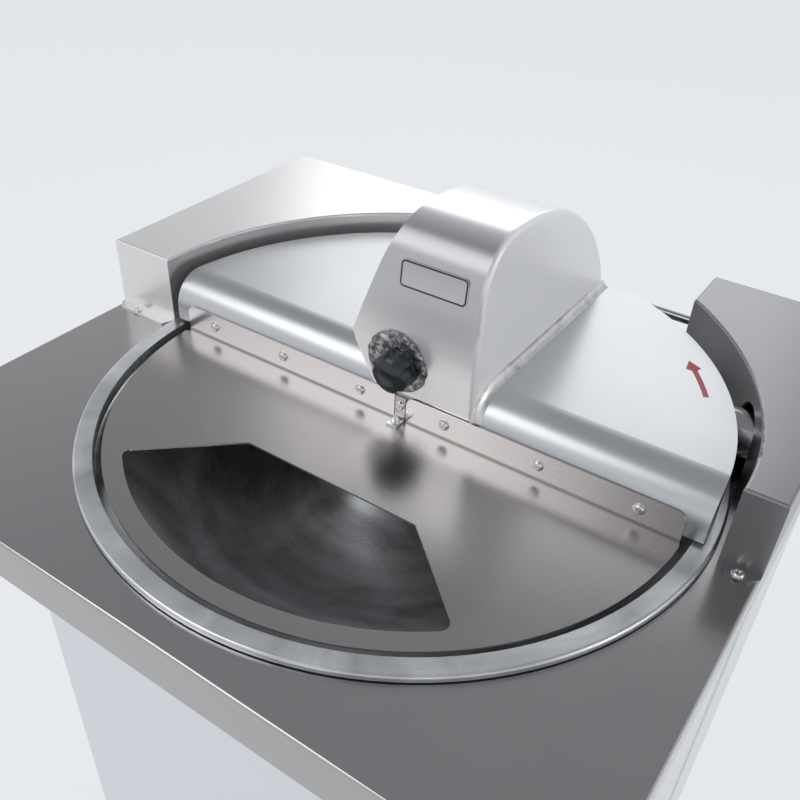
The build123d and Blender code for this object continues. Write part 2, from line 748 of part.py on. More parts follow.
with BuildPart() as knife_dome:
    add(dome_outside)
    with BuildSketch(facing(knob_back + 0.3)):
        with Locations((knob_x, knob_z)):
            Circle(boss_radius_front)
    extrude(amount=-8)
    add(dome_inside, mode=Mode.SUBTRACT)
    add(lid_outside, mode=Mode.SUBTRACT)
    with BuildSketch(level(0)):
        Rectangle(4 * lid_radius, 4 * lid_radius)
    extrude(amount=dome_low + 8, mode=Mode.SUBTRACT)
    with BuildSketch(facing(10)):
        with Locations((knob_x, knob_z)):
            Circle(stud_radius + running_gap)
    extrude(amount=20, mode=Mode.SUBTRACT)
save(knife_dome.part, "knife_dome")

feed_angle = 47.5
feed_corner = (feed_outer_radius * cos(radians(feed_angle)), -feed_outer_radius * sin(radians(feed_angle)))
strip_corner = 10.0
with BuildPart() as feed_plate:
    with BuildSketch(level(plate_top)):
        Circle(plate_radius)
        with Locations((0, plate_radius)):
            Rectangle(2 * plate_radius, 2 * plate_radius, mode=Mode.SUBTRACT)
    extrude(amount=-sheet)
    with BuildSketch(level(plate_top)) as feed_outline:
        with BuildLine():
            Polyline((-feed_corner[0], feed_corner[1]), (-feed_half, -feed_inner), (feed_half, -feed_inner), feed_corner)
            ThreePointArc(feed_corner, (0, -feed_outer_radius), (-feed_corner[0], feed_corner[1]))
        make_face()
        fillet(feed_outline.vertices().group_by(Axis.Y)[-1], 4)
        fillet(feed_outline.vertices().group_by(Axis.Y)[0], 9)
    extrude(amount=-sheet, mode=Mode.SUBTRACT)
    with BuildSketch(facing(0)) as strip:
        for end, notch in ((-strip_half, notch_left), (strip_half, notch_right)):
            with Locations(((end + notch) / 2, (strip_top + plate_top - sheet) / 2)):
                Rectangle(abs(end - notch), strip_top - plate_top + sheet)
        with Locations((0, (notch_floor + plate_top - sheet) / 2)):
            Rectangle(2 * strip_half, notch_floor - plate_top + sheet)
        top_corners = strip.vertices().group_by(Axis.Y)[-1].sort_by(Axis.X)
        fillet([top_corners[0], top_corners[2], top_corners[3]], strip_corner)
    extrude(amount=sheet)
    with BuildSketch(facing(0)):
        with Locations(*strip_screw_places):
            Circle(strip_hole)
    extrude(amount=sheet, mode=Mode.SUBTRACT)
    with BuildSketch(level(plate_top)):
        with Locations((clip_x, clip_screw_y)):
            Circle(strip_hole)
    extrude(amount=-sheet, mode=Mode.SUBTRACT)
save(feed_plate.part, "feed_plate")


def cross_screw(start, head_radius=4.4, head_height=2.4, shank_radius=2.5, shank_length=5.0):
    """Pan-head screw pointing down from its seat, with a nut's length of shank."""
    with BuildPart() as screw:
        with BuildSketch():
            Circle(head_radius)
        extrude(amount=head_height)
        fillet(screw.faces().sort_by(Axis.Z)[-1].edges(), 0.45 * head_height)
        with BuildSketch():
            Circle(shank_radius)
        extrude(amount=-shank_length)
    return start * screw.part


def front_screw(x, z, y, **sizes):
    """A cross_screw whose head faces the operator."""
    return cross_screw(facing(y).location * Location((x, z, 0)), **sizes)


clip_top = strip_top - 3.0
with BuildPart() as centre_clip:
    with BuildSketch(across(clip_x - clip_width / 2)):
        with BuildLine():
            Polyline((-clip_reach, plate_top), (-sheet, plate_top), (-sheet, notch_floor + 0.3),
                     (0, notch_floor + 0.3), (0, clip_top), (-sheet, clip_top), (-sheet, notch_floor + 0.3 + sheet),
                     (-2 * sheet, notch_floor + 0.3 + sheet), (-2 * sheet, plate_top + sheet),
                     (-clip_reach, plate_top + sheet), close=True)
        make_face()
    extrude(amount=clip_width)
    with BuildSketch(facing(0)):
        with Locations((clip_x, clip_screw_z)):
            Circle(strip_hole)
    extrude(amount=sheet, mode=Mode.SUBTRACT)
    with BuildSketch(level(plate_top + sheet)):
        with Locations((clip_x, clip_screw_y)):
            Circle(strip_hole)
    extrude(amount=-sheet, mode=Mode.SUBTRACT)
save(centre_clip.part, "centre_clip")

with BuildPart() as lid_screws:
    for x, z in (*strip_screw_places, (clip_x, clip_screw_z)):
        add(front_screw(x, z, -sheet))
    add(cross_screw(level(plate_top + sheet).location * Location((clip_x, clip_screw_y, 0)), shank_length=3.8))
save(lid_screws.part, "lid_screws")

# Star knob on the dome's front; its stud holds the scraper inside.
knob_radius = 20.0
knob_thickness = 19.0
knob_lobes = 6
stud_reach = 14.0
knob_plane = facing(knob_back)
with BuildPart() as lid_knob:
    with BuildSketch(knob_plane):
        with Locations((knob_x, knob_z)):
            Circle(knob_radius)
    extrude(amount=knob_thickness)
    fillet(lid_knob.faces().sort_by(Axis.Y)[0].edges(), 6)
    with BuildSketch(knob_plane):
        with Locations((knob_x, knob_z)):
            with PolarLocations(knob_radius + 5, knob_lobes, start_angle=0):
                Circle(8.5)
    extrude(amount=knob_thickness, mode=Mode.SUBTRACT)
    with BuildSketch(knob_plane):
        with Locations((knob_x, knob_z)):
            Circle(stud_radius - running_gap)
    extrude(amount=-(stud_reach - knob_back))
save(lid_knob.part, "lid_knob")

# Scraper: a plastic blade that follows the trough near the hub, hung behind the dome's front.
scraper_x = -30.0
scraper_thickness = 9.0
scraper_gap = 4.0
scraper_back = 13.0


def scraper_edge(y):
    """Point of the blade's lower edge, clear of the trough."""
    distance = sqrt((scraper_x + scraper_thickness) ** 2 + y**2)
    return (y, trough_z(distance, trough_radius) + scraper_gap)


with BuildPart() as bowl_scraper:
    with BuildSketch(facing(scraper_back)):
        with Locations((knob_x, knob_z)):
            Circle(11)
        with Locations(((scraper_x + knob_x) / 2, knob_z)):
            Rectangle(knob_x - scraper_x, 22)
    extrude(amount=8)
    with BuildSketch(across(scraper_x)):
        with BuildLine():
            Polyline((5, knob_z + 11), (5, 4), scraper_edge(24))
            ThreePointArc(scraper_edge(24), scraper_edge(52), scraper_edge(92))
            Polyline(scraper_edge(92), (90, scraper_edge(92)[1] + 16))
            ThreePointArc((90, scraper_edge(92)[1] + 16), (40, -8), (22, 30))
            Polyline((22, 30), (scraper_back, knob_z + 11), (5, knob_z + 11))
        make_face()
    extrude(amount=scraper_thickness)
    with BuildSketch(facing(scraper_back)):
        with Locations((knob_x, knob_z)):
            Circle(stud_radius + running_gap)
    extrude(amount=8, mode=Mode.SUBTRACT)
save(bowl_scraper.part, "bowl_scraper")

# ================= lid hinge =================
guard_left_end = -174.0
guard_right_end = 185.0
block_width = 16.0
block_x = (guard_left_end - 6 - block_width, guard_right_end + 6)
block_foot = 8.0
block_half = 15.0
rod_overhang = 8.0
with BuildPart() as hinge_blocks:
    for left in block_x:
        with BuildSketch(across(left)):
            with Locations((rod_y, block_foot / 2)):
                Rectangle(2 * block_half, block_foot)
            with Locations((rod_y, (hinge_height) / 2)):
                Rectangle(24, hinge_height)
            with Locations((rod_y, hinge_height)):
                Circle(12)
            with Locations((rod_y, hinge_height)):
                Circle(rod_radius + running_gap, mode=Mode.SUBTRACT)
        extrude(amount=block_width)
save(hinge_blocks.part, "hinge_blocks")

rod_left = block_x[0] - rod_overhang
rod_right = block_x[1] + block_width + rod_overhang
with BuildPart() as hinge_rod:
    with BuildSketch(across(rod_left)):
        with Locations((rod_y, hinge_height)):
            Circle(rod_radius)
    extrude(amount=rod_right - rod_left)
    chamfer(hinge_rod.faces().sort_by(Axis.X)[0].edges(), 0.8)
    chamfer(hinge_rod.faces().sort_by(Axis.X)[-1].edges(), 0.8)
    for left in (block_x[0] - 4, block_x[1] + block_width):
        with BuildSketch(across(left)):
            with Locations((rod_y, hinge_height)):
                Circle(9)
        extrude(amount=4)
save(hinge_rod.part, "hinge_rod")

# ================= rear guards =================
guard_centre_y = 5.0
ease_angle = 28.0


def on_guard(angle):
    """Point of the guards' inner wall at an angle from the right."""
    return (guard_shift + guard_radius * cos(radians(angle)), guard_centre_y + guard_radius * sin(radians(angle)))


def guard_angle_at(x):
    return degrees(acos((x - guard_shift) / guard_radius))


def guard_front_angle(side):
    start = degrees(asin((guard_front - guard_centre_y) / guard_radius))
    return start if side > 0 else 180 - start


def guard_outline(side):
    """Plan of one rear guard: straight outer walls and a round inner wall."""
    if side > 0:
        start = on_guard(guard_front_angle(1))
        ease = on_guard(ease_angle)
        end = (guard_right_end, lid_rear - 7)
        Polyline(end, (guard_right_end, table_rear), (table_right, table_rear), (table_right, guard_front), start)
        ThreePointArc(start, on_guard(ease_angle / 2), ease)
        TangentArc(ease, end, tangent=(-sin(radians(ease_angle)), cos(radians(ease_angle))))
    else:
        start = on_guard(guard_front_angle(-1))
        stop_angle = guard_angle_at(guard_left_end)
        end = on_guard(stop_angle)
        Polyline(end, (guard_left_end, table_rear), (table_left, table_rear), (table_left, guard_front), start)
        ThreePointArc(start, on_guard((stop_angle + guard_front_angle(-1)) / 2), end)


tab_reach = 14.0


def rear_guard(side):
    """One sheet-metal guard, open below, with a foot tab at its front."""
    with BuildPart() as guard:
        with BuildSketch(level(0)):
            with BuildLine():
                guard_outline(side)
            make_face()
        extrude(amount=guard_height)
        fillet(guard.faces().sort_by(Axis.Z)[-1].edges(), 2.5)
        with BuildSketch(level(0)):
            with BuildLine():
                guard_outline(side)
            make_face()
            offset(amount=-sheet, kind=Kind.INTERSECTION, mode=Mode.REPLACE)
        extrude(amount=guard_height - sheet, mode=Mode.SUBTRACT)
        inner_x = on_guard(guard_front_angle(side))[0]
        outer_x = table_right if side > 0 else table_left
        with BuildSketch(level(0)):
            with BuildLine():
                Polyline((inner_x + 3 * side, guard_front), (inner_x + 8 * side, -tab_reach + 2),
                         (outer_x - 8 * side, -tab_reach + 2), (outer_x, guard_front - 4), (outer_x, guard_front),
                         (inner_x + 3 * side, guard_front))
            make_face()
        extrude(amount=sheet)
        with BuildSketch(level(sheet)):
            with Locations((tab_screw_x[side], tab_screw_y)):
                Circle(strip_hole)
        extrude(amount=-sheet, mode=Mode.SUBTRACT)
        with BuildSketch(across(guard_right_end + 2 * sheet if side > 0 else guard_left_end - 2 * sheet)):
            with Locations((rod_y, hinge_height)):
                Circle(rod_radius + 1)
        extrude(amount=-8 * side, mode=Mode.SUBTRACT)
        if side > 0:
            with BuildSketch(across(lid_radius - arch_depth + 15)):
                with Locations((shaft_y, shaft_height)):
                    Circle(arch_radius)
                with Locations((shaft_y, shaft_height / 2)):
                    Rectangle(2 * arch_radius, shaft_height)
            extrude(amount=arch_depth, mode=Mode.SUBTRACT)
    return guard.part


save(rear_guard(-1), "guard_left")
save(rear_guard(1), "guard_right")

with BuildPart() as guard_screws:
    for side in (-1, 1):
        add(cross_screw(level(sheet).location * Location((tab_screw_x[side], tab_screw_y, 0)), shank_length=3.8))
save(guard_screws.part, "guard_screws")

# ================= cabinet =================
flange_width = 20.0
bowl_clearance = 8.0
clear_radius = outer_radius + bowl_clearance
clear_flank = (shaft_y + clear_radius * cos(flank), shaft_height + clear_radius * sin(flank))
clear_middle = (shaft_y + clear_radius * cos((flank - pi / 2) / 2), shaft_height + clear_radius * sin((flank - pi / 2) / 2))
clear_edge = table_opening + sheet + 2.0
door_opening_half = 190.0
door_opening_height = 420.0
door_y = 20.0
door_z = -370.0
belt_opening_half = 90.0
belt_opening_top = -90.0
belt_opening_bottom = -640.0
vent_x = 40.0
vent_z = -380.0
vent_width = 320.0
vent_height = 360.0
panel_x = 220.0
panel_z = -190.0
panel_width = 170.0
panel_height = 120.0
panel_thickness = 3.0
gland_place = (-220.0, -600.0)
gland_radius = 10.0
with BuildPart() as bowl_space:
    with BuildSketch(facing(0)):
        with BuildLine():
            Polyline((shaft_y, shaft_height - clear_radius), (0, shaft_height - clear_radius), (0, 1), (clear_edge, 1),
                     (clear_edge, -collar_depth - 2), clear_flank)
            ThreePointArc(clear_flank, clear_middle, (shaft_y, shaft_height - clear_radius))
        make_face()
    revolve(axis=bowl_axis)

with BuildPart() as cabinet_shell:
    with BuildSketch(level(cabinet_bottom)):
        with Locations((cabinet_middle_x, cabinet_middle_y)):
            RectangleRounded(cabinet_width, cabinet_depth, 2 * table_bend)
    extrude(amount=-sheet - cabinet_bottom)
    with BuildSketch(level(cabinet_bottom + sheet)):
        with Locations((cabinet_middle_x, cabinet_middle_y)):
            RectangleRounded(cabinet_width - 2 * sheet, cabinet_depth - 2 * sheet, 2 * table_bend - sheet)
    extrude(amount=-3 * sheet - cabinet_bottom, mode=Mode.SUBTRACT)
    with BuildSketch(level(cabinet_bottom)):
        with Locations((cabinet_middle_x, cabinet_middle_y)):
            Rectangle(cabinet_width - 2 * flange_width, cabinet_depth - 2 * flange_width)
    extrude(amount=-cabinet_bottom, mode=Mode.SUBTRACT)
    add(bowl_space.part, mode=Mode.SUBTRACT)
    with BuildSketch(level(0)):
        with Locations((pulley_left_x + pulley_width / 2 - 1, shaft_y)):
            Rectangle(pulley_width + 4, 2 * belt_slot_half)
    extrude(amount=-4 * sheet, mode=Mode.SUBTRACT)
    with BuildSketch(across(cabinet_left)):
        with Locations((door_y, door_z)):
            RectangleRounded(2 * door_opening_half, door_opening_height, 8)
    extrude(amount=sheet, mode=Mode.SUBTRACT)
    with BuildSketch(across(cabinet_right)):
        with Locations((shaft_y, (belt_opening_top + belt_opening_bottom) / 2)):
            RectangleRounded(2 * belt_opening_half, belt_opening_top - belt_opening_bottom, 8)
    extrude(amount=-sheet, mode=Mode.SUBTRACT)
    with BuildSketch(facing(cabinet_rear)):
        with Locations((vent_x, vent_z)):
            RectangleRounded(vent_width, vent_height, 8)
        with Locations(gland_place):
            Circle(gland_radius)
    extrude(amount=sheet, mode=Mode.SUBTRACT)
    with BuildSketch(facing(cabinet_front)):
        with Locations((panel_x, panel_z)):
            RectangleRounded(panel_width - 20, panel_height - 16, 4)
    extrude(amount=-sheet, mode=Mode.SUBTRACT)
save(cabinet_shell.part, "cabinet_shell")

frame_bottom = foot_height - table_height
channel_flange = 34.0
rail_x = (120.0, 250.0)
foot_inset = 24.0
foot_stud_radius = 6.0
foot_places = [(x, y) for x in (cabinet_left + foot_inset, cabinet_right - foot_inset)
               for y in (cabinet_front + foot_inset, cabinet_rear - foot_inset)]
with BuildPart() as base_frame:
    with BuildSketch(level(frame_bottom)):
        with Locations((cabinet_middle_x, cabinet_middle_y)):
            Rectangle(cabinet_width, cabinet_depth)
            Rectangle(cabinet_width - 2 * channel_flange, cabinet_depth - 2 * channel_flange, mode=Mode.SUBTRACT)
    extrude(amount=frame_height)
    with BuildSketch(level(frame_bottom + frame_wall)):
        with Locations((cabinet_middle_x, cabinet_middle_y)):
            Rectangle(cabinet_width - 2 * frame_wall, cabinet_depth - 2 * frame_wall)
    extrude(amount=frame_height - 2 * frame_wall, mode=Mode.SUBTRACT)
    for x in rail_x:
        with BuildSketch(facing(cabinet_rear - frame_wall)):
            with Locations((x, frame_bottom + frame_height / 2)):
                Rectangle(frame_height, frame_height)
                Rectangle(frame_height - 2 * frame_wall, frame_height - 2 * frame_wall, mode=Mode.SUBTRACT)
        extrude(amount=cabinet_depth - 2 * frame_wall)
    with BuildSketch(level(frame_bottom)):
        with Locations(*foot_places):
            Circle(foot_stud_radius + running_gap)
    extrude(amount=frame_wall, mode=Mode.SUBTRACT)
save(base_frame.part, "base_frame")

pad_radius = 25.0
pad_height = 16.0
stud_foot = 12.0
with BuildPart() as feet_pads:
    for x, y in foot_places:
        with BuildSketch(level(-table_height)):
            with Locations((x, y)):
                Circle(pad_radius)
        extrude(amount=pad_height, taper=12)
        with BuildSketch(level(pad_height - table_height)):
            with Locations((x, y)):
                Circle(foot_stud_radius + 3)
        extrude(amount=-(pad_height - 6), mode=Mode.SUBTRACT)
save(feet_pads.part, "feet_pads")

with BuildPart() as feet_studs:
    for x, y in foot_places:
        with BuildSketch(level(6 - table_height)):
            with Locations((x, y)):
                Circle(foot_stud_radius + 3)
        extrude(amount=pad_height - 6)
        with BuildSketch(level(pad_height - table_height)):
            with Locations((x, y)):
                Circle(foot_stud_radius)
        extrude(amount=foot_height - pad_height + 28)
        for bottom in (foot_height - stud_foot, foot_height + frame_wall):
            with BuildSketch(level(bottom - table_height)):
                with Locations((x, y)):
                    RegularPolygon(9.5, 6, major_radius=False)
            extrude(amount=stud_foot - 4 if bottom > foot_height else stud_foot)
save(feet_studs.part, "feet_studs")

# ================= service door on the left wall =================
door_depth = 14.0
door_lap = 20.0
door_gap = 0.5
door_half = door_opening_half + door_lap
door_height = door_opening_height + 2 * door_lap
door_face = cabinet_left - door_depth
hinge_pin_x = cabinet_left - door_depth / 2 - 1
hinge_pin_y = door_y + door_half + 8.0
barrel_radius = 5.0
barrel_length = 26.0
pin_radius = 2.6
door_hinge_z = [door_z + side * 0.36 * door_height for side in (-1, 1)]
def hinge_barrel(bottom, radius):
    """A cylinder on the door hinge's pin line: a barrel, or the bore through it."""
    with BuildPart() as barrel:
        with BuildSketch(level(bottom)):
            with Locations((hinge_pin_x, hinge_pin_y)):
                Circle(radius)
        extrude(amount=barrel_length)
    return barrel.part


with BuildPart() as service_door:
    with BuildSketch(across(door_face)):
        with Locations((door_y, door_z)):
            RectangleRounded(2 * door_half, door_height, 6)
    extrude(amount=door_depth - door_gap)
    fillet(service_door.faces().sort_by(Axis.X)[0].edges(), 2.5)
    with BuildSketch(across(door_face + sheet)):
        with Locations((door_y, door_z)):
            RectangleRounded(2 * (door_half - sheet), door_height - 2 * sheet, 4)
    extrude(amount=door_depth, mode=Mode.SUBTRACT)
    for middle in door_hinge_z:
        with BuildSketch(level(middle + 0.2)):
            with Locations((hinge_pin_x, (hinge_pin_y + door_y + door_half) / 2)):
                Rectangle(8, hinge_pin_y - door_y - door_half)
        extrude(amount=barrel_length)
        add(hinge_barrel(middle + 0.2, barrel_radius))
        add(hinge_barrel(middle + 0.2, pin_radius + running_gap), mode=Mode.SUBTRACT)
save(service_door.part, "service_door")

with BuildPart() as door_hinges:
    for middle in door_hinge_z:
        with BuildSketch(level(middle - barrel_length - 0.2)):
            with Locations((cabinet_left - 1.5, hinge_pin_y + 12)):
                Rectangle(3, 24)
            with Locations(((cabinet_left + hinge_pin_x) / 2, hinge_pin_y + 2.5)):
                Rectangle(cabinet_left - hinge_pin_x, 5)
        extrude(amount=barrel_length)
        add(hinge_barrel(middle - barrel_length - 0.2, barrel_radius))
        add(hinge_barrel(middle - 0.2, pin_radius))
save(door_hinges.part, "door_hinges")

pull_y = door_y - door_half + 34.0
pull_half = 55.0
pull_stand = 32.0
pull_radius = 5.0
with BuildPart() as door_pull:
    with BuildSketch(Plane((bowl_x + door_face, pull_y, table_height + door_z - pull_half), z_dir=(-1, 0, 0))):
        Circle(pull_radius)
    with BuildLine() as pull_path:
        FilletPolyline((bowl_x + door_face, pull_y, table_height + door_z - pull_half),
                       (bowl_x + door_face - pull_stand, pull_y, table_height + door_z - pull_half),
                       (bowl_x + door_face - pull_stand, pull_y, table_height + door_z + pull_half),
                       (bowl_x + door_face, pull_y, table_height + door_z + pull_half), radius=14)
    sweep(path=pull_path.line)
save(door_pull.part, "door_pull")

catch_height = 40.0
catch_edge = door_y - door_opening_half
with BuildPart() as door_catches:
    for side in (-1, 1):
        with BuildSketch(level(door_z + side * 130 - catch_height / 2)):
            with Locations((cabinet_left + 1, catch_edge + 9)):
                Rectangle(22, 18)
            with Locations((cabinet_left + sheet + 5, catch_edge - 5)):
                Rectangle(10, 12)
        extrude(amount=catch_height)
save(door_catches.part, "door_catches")

# ================= right-hand belt cover and louvred back panel =================
cover_lap = 14.0
cover_height = belt_opening_top - belt_opening_bottom + 2 * cover_lap
cover_half = belt_opening_half + cover_lap
cover_z = (belt_opening_top + belt_opening_bottom) / 2
with BuildPart() as side_cover:
    with BuildSketch(across(cabinet_right)):
        with Locations((shaft_y, cover_z)):
            RectangleRounded(2 * cover_half, cover_height, 6)
    extrude(amount=sheet)
    with BuildSketch(across(cabinet_right)):
        with Locations((shaft_y, cover_z)):
            with GridLocations(2 * cover_half - cover_lap, (cover_height - cover_lap) / 3, 2, 4):
                Circle(strip_hole)
    extrude(amount=sheet, mode=Mode.SUBTRACT)
save(side_cover.part, "side_cover")

louvre_count = 9
louvre_pitch = 34.0
louvre_length = 110.0
louvre_height = 12.0
louvre_depth = 8.0
with BuildPart() as back_panel:
    with BuildSketch(facing(cabinet_rear + sheet)):
        with Locations((vent_x, vent_z)):
            RectangleRounded(vent_width + 2 * cover_lap, vent_height + 2 * cover_lap, 6)
    extrude(amount=sheet)
    for column in (-1, 1):
        left = vent_x + column * 0.25 * vent_width - louvre_length / 2
        for row in range(louvre_count):
            z = vent_z + (row - (louvre_count - 1) / 2) * louvre_pitch
            with BuildSketch(across(left)):
                with BuildLine():
                    Polyline((cabinet_rear + sheet, z + louvre_height), (cabinet_rear + sheet + louvre_depth, z),
                             (cabinet_rear + sheet, z), close=True)
                make_face()
            extrude(amount=louvre_length)
            with BuildSketch(across(left + 1.5)):
                with BuildLine():
                    Polyline((cabinet_rear, z + louvre_height - 3), (cabinet_rear + sheet, z + louvre_height - 3),
                             (cabinet_rear + louvre_depth, z), (cabinet_rear + louvre_depth, z - 1),
                             (cabinet_rear + sheet, z - 1), (cabinet_rear, z), close=True)
                make_face()
            extrude(amount=louvre_length - 3, mode=Mode.SUBTRACT)
save(back_panel.part, "back_panel")

with BuildPart() as cable_gland:
    with BuildSketch(facing(cabinet_rear + 6)):
        with Locations(gland_place):
            RegularPolygon(gland_radius + 4, 6, major_radius=False)
    extrude(amount=6)
    with BuildSketch(facing(cabinet_rear + 20)):
        with Locations(gland_place):
            Circle(gland_radius)
    extrude(amount=14)
    with BuildSketch(facing(cabinet_rear)):
        with Locations(gland_place):
            Circle(gland_radius - running_gap)
    extrude(amount=sheet)
    with BuildSketch(facing(cabinet_rear - sheet)):
        with Locations(gland_place):
            RegularPolygon(gland_radius + 3, 6, major_radius=False)
    extrude(amount=5)
save(cable_gland.part, "cable_gland")

# ================= knife motor =================
motor_radius = 84.0
motor_fin = 10.0
motor_left = 40.0
motor_right = 290.0
shield_length = 28.0
motor_shaft_radius = 12.0
terminal_top = 116.0
foot_half_y = 92.0
with BuildPart() as knife_motor:
    with BuildSketch(across(motor_left)):
        with Locations((motor_y, motor_z)):
            Circle(motor_radius - 4)
    extrude(amount=shield_length)
    with BuildSketch(across(motor_right)):
        with Locations((motor_y, motor_z)):
            Circle(motor_radius - 4)
    extrude(amount=-shield_length)
    with BuildSketch(across(motor_left + shield_length)):
        with Locations((motor_y, motor_z)):
            Circle(motor_radius - motor_fin)
            with PolarLocations(motor_radius - motor_fin, 28):
                Rectangle(2 * motor_fin - 1, 3)
        with Locations((motor_y, motor_z - motor_radius + 8)):
            Rectangle(90, 20)
    extrude(amount=motor_right - motor_left - 2 * shield_length)
    with BuildSketch(level(motor_z - motor_height)):
        with Locations(((motor_left + motor_right) / 2, motor_y)):
            Rectangle(170, 2 * foot_half_y)
    extrude(amount=10)
    with BuildSketch(across(motor_left + 40)):
        with BuildLine():
            Polyline((motor_y - 60, motor_z - motor_height + 10), (motor_y - 60, motor_z - 56),
                     (motor_y + 60, motor_z - 56), (motor_y + 60, motor_z - motor_height + 10), close=True)
        make_face()
    extrude(amount=motor_right - motor_left - 80)
    with BuildSketch(level(motor_z)):
        with Locations(((motor_left + motor_right) / 2, motor_y)):
            RectangleRounded(90, 80, 6)
    extrude(amount=terminal_top)
    fillet(knife_motor.faces().sort_by(Axis.Z)[-1].edges(), 3)
    with BuildSketch(across(motor_left)):
        with Locations((motor_y, motor_z)):
            Circle(motor_shaft_radius + running_gap)
    extrude(amount=motor_right - motor_left, mode=Mode.SUBTRACT)
save(knife_motor.part, "knife_motor")

fan_gap = 6.0
fan_width = 14.0
cover_length = 44.0
with BuildPart() as motor_shaft:
    with BuildSketch(across(motor_left - fan_gap - fan_width)):
        with Locations((motor_y, motor_z)):
            Circle(motor_shaft_radius)
    extrude(amount=pulley_left_x + pulley_width - motor_left + fan_gap + fan_width)
save(motor_shaft.part, "motor_shaft")

with BuildPart() as motor_fan:
    with BuildSketch(across(motor_left - fan_gap - fan_width)):
        with Locations((motor_y, motor_z)):
            Circle(24)
            with PolarLocations(43, 9):
                Rectangle(42, 3)
            Circle(motor_shaft_radius, mode=Mode.SUBTRACT)
    extrude(amount=fan_width)
    with BuildSketch(across(motor_left - fan_gap - 2)):
        with Locations((motor_y, motor_z)):
            Circle(64)
            Circle(motor_shaft_radius, mode=Mode.SUBTRACT)
    extrude(amount=2)
save(motor_fan.part, "motor_fan")

with BuildPart() as fan_cover:
    with BuildSketch(across(motor_left - cover_length)):
        with Locations((motor_y, motor_z)):
            Circle(motor_radius - 1)
    extrude(amount=cover_length + 12)
    fillet(fan_cover.faces().sort_by(Axis.X)[0].edges(), 8)
    with BuildSketch(across(motor_left - cover_length + sheet)):
        with Locations((motor_y, motor_z)):
            Circle(motor_radius - 4 + running_gap)
    extrude(amount=cover_length + 12, mode=Mode.SUBTRACT)
    with BuildSketch(across(motor_left - cover_length)):
        with Locations((motor_y, motor_z)):
            for ring_radius in (22, 38, 54):
                with PolarLocations(ring_radius, round(ring_radius / 3)):
                    Circle(4.5)
    extrude(amount=sheet, mode=Mode.SUBTRACT)
save(fan_cover.part, "fan_cover")

with BuildPart() as motor_slide_plate:
    with BuildSketch(level(cabinet_bottom)):
        with Locations(((motor_left + motor_right) / 2 + 12, motor_y)):
            Rectangle(220, 2 * foot_half_y + 40)
    extrude(amount=slide_plate)
save(motor_slide_plate.part, "motor_slide_plate")

# ================= controls on the front wall =================
button_radius = 9.0
button_bore = button_radius + running_gap
bezel_radius = 14.5
bezel_height = 5.0
button_proud = 4.5
button_travel = 4.0
button_tail = 8.0
column_x = [panel_x + step * 50 for step in (-1, 0, 1)]
row_z = [panel_z + 25, panel_z - 25]
button_places = {"bowl_start": (column_x[0], row_z[0]), "bowl_stop": (column_x[0], row_z[1]),
                 "knife_start": (column_x[1], row_z[0]), "knife_stop": (column_x[1], row_z[1])}
stop_place = (column_x[2], row_z[0])
selector_place = (column_x[2], row_z[1])
control_places = [*button_places.values(), stop_place, selector_place]
panel_face = cabinet_front - panel_thickness
bezel_face = panel_face - bezel_height
with BuildPart() as control_panel:
    with BuildSketch(facing(cabinet_front)):
        with Locations((panel_x, panel_z)):
            RectangleRounded(panel_width, panel_height, 6)
        with Locations(*control_places):
            Circle(button_bore, mode=Mode.SUBTRACT)
    extrude(amount=panel_thickness)
save(control_panel.part, "control_panel")

with BuildPart() as button_bezels:
    with BuildSketch(facing(panel_face)):
        with Locations(*control_places):
            Circle(bezel_radius)
    extrude(amount=bezel_height)
    chamfer(button_bezels.faces().group_by(Axis.Y)[0].edges(), 1.5)
    with BuildSketch(facing(panel_face)):
        with Locations(*control_places):
            Circle(button_bore)
    extrude(amount=bezel_height, mode=Mode.SUBTRACT)
save(button_bezels.part, "button_bezels")

contact_depth = 26.0
with BuildPart() as contact_blocks:
    with BuildSketch(facing(cabinet_front)):
        with Locations(*control_places):
            Rectangle(26, 30)
    extrude(amount=-contact_depth)
    with BuildSketch(facing(cabinet_front)):
        with Locations(*control_places):
            Circle(button_bore)
    extrude(amount=-(button_tail + 6), mode=Mode.SUBTRACT)
save(contact_blocks.part, "contact_blocks")

for name, place in button_places.items():
    with BuildPart() as button:
        with BuildSketch(facing(cabinet_front + button_tail)):
            with Locations(place):
                Circle(button_radius)
        extrude(amount=button_tail + panel_thickness + bezel_height + button_proud)
        fillet(button.faces().sort_by(Axis.Y)[0].edges(), 1)
    save(button.part, name)

mushroom_radius = 20.0
mushroom_gap = 6.5
with BuildPart() as emergency_stop:
    with BuildSketch(facing(cabinet_front + button_tail)):
        with Locations(stop_place):
            Circle(button_radius)
    extrude(amount=button_tail + panel_thickness + bezel_height + mushroom_gap)
    with BuildSketch(facing(bezel_face - mushroom_gap)):
        with Locations(stop_place):
            Circle(mushroom_radius)
    extrude(amount=10)
    fillet(emergency_stop.faces().sort_by(Axis.Y)[0].edges(), 4)
save(emergency_stop.part, "emergency_stop")

with BuildPart() as speed_selector:
    with BuildSketch(facing(cabinet_front + button_tail)):
        with Locations(selector_place):
            Circle(button_radius)
    extrude(amount=button_tail + panel_thickness + bezel_height + 0.5)
    with BuildSketch(facing(bezel_face - 0.5)):
        with Locations(selector_place):
            Circle(13)
    extrude(amount=4)
    with BuildSketch(facing(bezel_face - 4.5)):
        with Locations(selector_place):
            Rectangle(8, 25)
    extrude(amount=10)
    fillet(speed_selector.faces().sort_by(Axis.Y)[0].edges(), 1.2)
save(speed_selector.part, "speed_selector")

